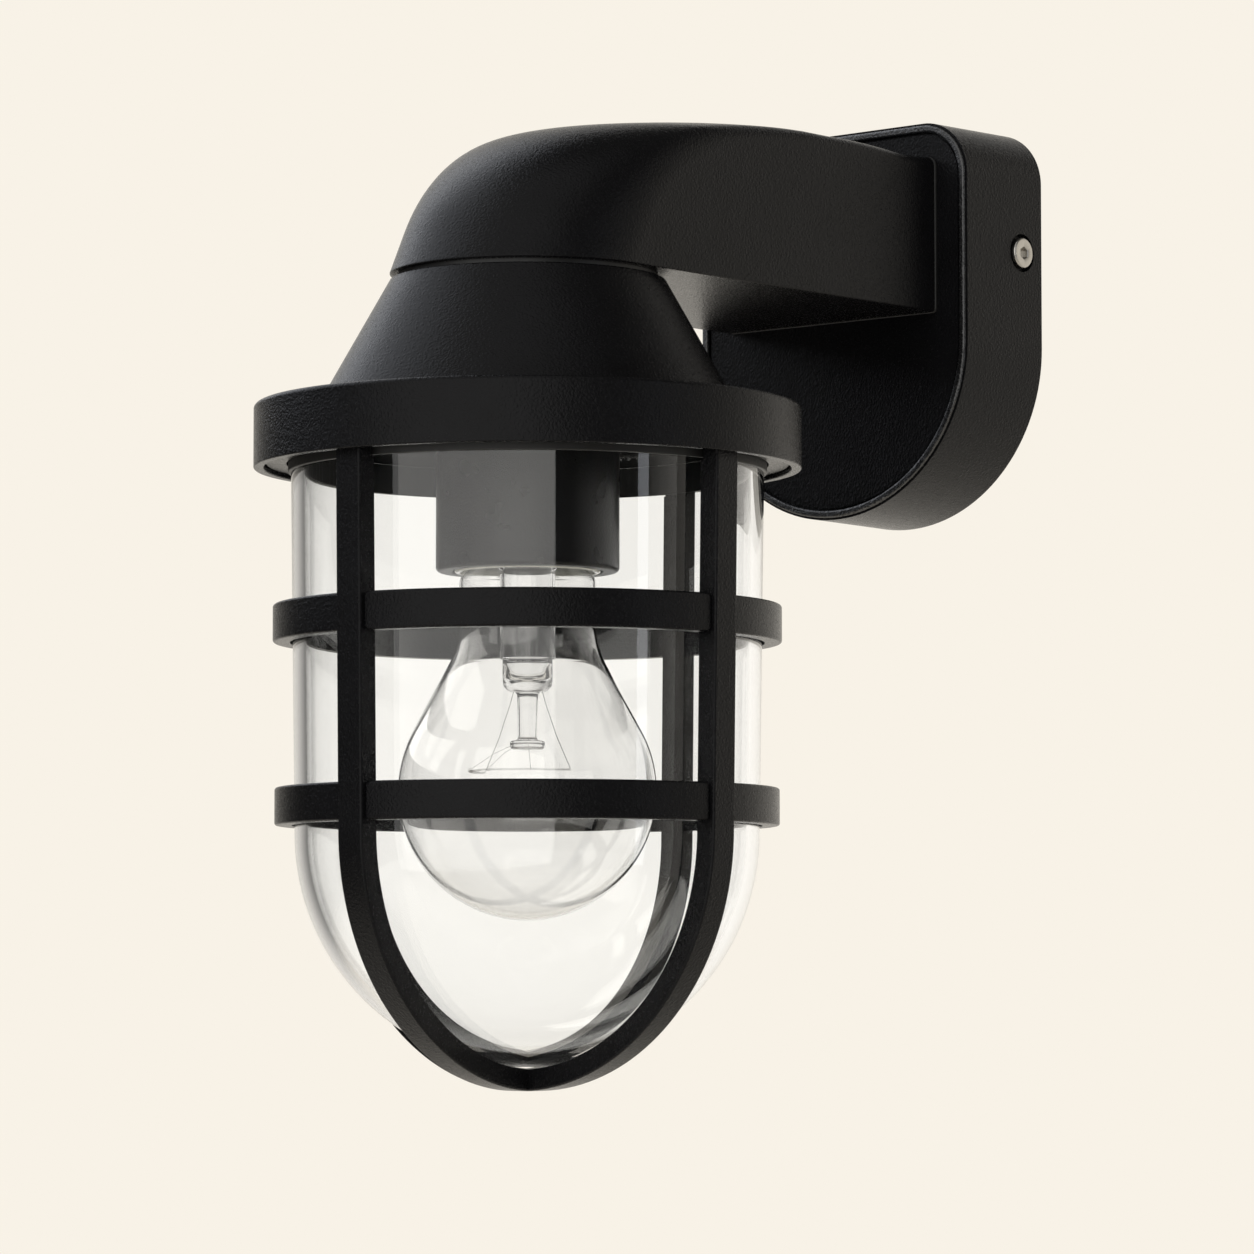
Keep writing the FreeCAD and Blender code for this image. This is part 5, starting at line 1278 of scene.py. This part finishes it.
    def softbox_inside(self, tree, way, azimuth, elevation, distance, size, power):
        """Strength of a softbox in the world, for rays that were mirrored inside the glass."""
        centre = self.towards(azimuth, elevation)
        across = Vector((0, 0, 1)).cross(centre).normalized()
        ahead, aside, above = (
            add(tree, "ShaderNodeVectorMath", {"operation": "DOT_PRODUCT", 1: axis}, {0: way})
            for axis in (centre, across, centre.cross(across))
        )
        glow = add(tree, "ShaderNodeMath", {"operation": "GREATER_THAN", 1: 0.0}, {0: ahead})
        for off, length in ((aside, size[0]), (above, size[1])):
            # How far off the softbox's middle, as a slope, and whether that is still on it.
            slope = add(tree, "ShaderNodeMath", {"operation": "DIVIDE"}, {0: off, 1: ahead})
            steep = add(tree, "ShaderNodeMath", {"operation": "ABSOLUTE"}, {0: slope})
            edge = length / 2 / distance
            within = add(tree, "ShaderNodeMath", {"operation": "LESS_THAN", 1: edge}, {0: steep})
            glow = add(tree, "ShaderNodeMath", {"operation": "MULTIPLY"}, {0: glow, 1: within})
        radiance = power / (math.pi * size[0] * size[1])
        return add(tree, "ShaderNodeMath", {"operation": "MULTIPLY", 1: radiance}, {0: glow})

    def softbox(self, name, tint, azimuth, elevation, distance, size, power):
        """A rectangular lamp aimed at the light."""
        lamp = bpy.data.lights.new(name, "AREA")
        lamp.shape = "RECTANGLE"
        lamp.size, lamp.size_y = size
        lamp.energy = power
        lamp.color = colour(tint)[:3]
        way = self.towards(azimuth, elevation)
        # Every softbox looks at the middle of the light's height.
        aim = LAMP + Vector((0, 0, -0.07))
        holder = bpy.data.objects.new(name, lamp)
        holder.location = aim + way * distance
        holder.rotation_euler = way.to_track_quat("Z", "Y").to_euler()
        holder.visible_camera = False
        # It doesn't show through the glass either; softbox_inside gives its mirror image there.
        holder.visible_transmission = False
        bpy.context.scene.collection.objects.link(holder)

    def camera(self, scene, settings):
        """The photograph's view, from below the flange and to the right."""
        camera = bpy.data.cameras.new("camera")
        camera.lens = settings.lens
        camera.sensor_width = 36.0
        holder = bpy.data.objects.new("camera", camera)
        holder.location = (0.7987, -1.0341, -0.1657)
        holder.rotation_euler = (math.radians(93.984), 0.0, math.radians(40.825))
        scene.collection.objects.link(holder)
        scene.camera = holder
        scene.view_settings.view_transform = "Standard"


# ---------------------------------------------------------------- the add-on


GROUPS = {
    "cap_sizes": CapSizes,
    "arm_sizes": ArmSizes,
    "glass_sizes": GlassSizes,
    "cage_sizes": CageSizes,
    "bulb_sizes": BulbSizes,
    "light_finish": Finish,
    "stage_settings": StageSettings,
}
STEPS = (
    WALLLIGHT_OT_cap,
    WALLLIGHT_OT_arm,
    WALLLIGHT_OT_cage,
    WALLLIGHT_OT_glass,
    WALLLIGHT_OT_holder,
    WALLLIGHT_OT_bulb,
    WALLLIGHT_OT_screws,
    WALLLIGHT_OT_fittings,
    WALLLIGHT_OT_stage,
)


class WALLLIGHT_PT_panel(bpy.types.Panel):
    """The light's pieces and their sizes"""
    bl_label = "Wall Light"
    bl_space_type = "VIEW_3D"
    bl_region_type = "UI"
    bl_category = "Wall Light"

    def draw(self, context):
        for name, group in GROUPS.items():
            box = self.layout.box()
            for prop in group.__annotations__:
                box.prop(getattr(context.scene, name), prop)
        for step in STEPS:
            self.layout.operator(step.bl_idname)


def register():
    for group in GROUPS.values():
        bpy.utils.register_class(group)
    for name, group in GROUPS.items():
        setattr(bpy.types.Scene, name, bpy.props.PointerProperty(type=group))
    for step in STEPS:
        bpy.utils.register_class(step)
    bpy.utils.register_class(WALLLIGHT_PT_panel)


def unregister():
    bpy.utils.unregister_class(WALLLIGHT_PT_panel)
    for step in reversed(STEPS):
        bpy.utils.unregister_class(step)
    for name in GROUPS:
        delattr(bpy.types.Scene, name)
    for group in reversed(list(GROUPS.values())):
        bpy.utils.unregister_class(group)


def corners():
    """The shown object's box as plain lists."""
    return [[float(value) for value in corner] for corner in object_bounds()]


def main():
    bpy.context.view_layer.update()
    register()
    for step in STEPS:
        group, name = step.bl_idname.split(".")
        getattr(getattr(bpy.ops, group), name)()


if __name__ == "__main__":
    main()
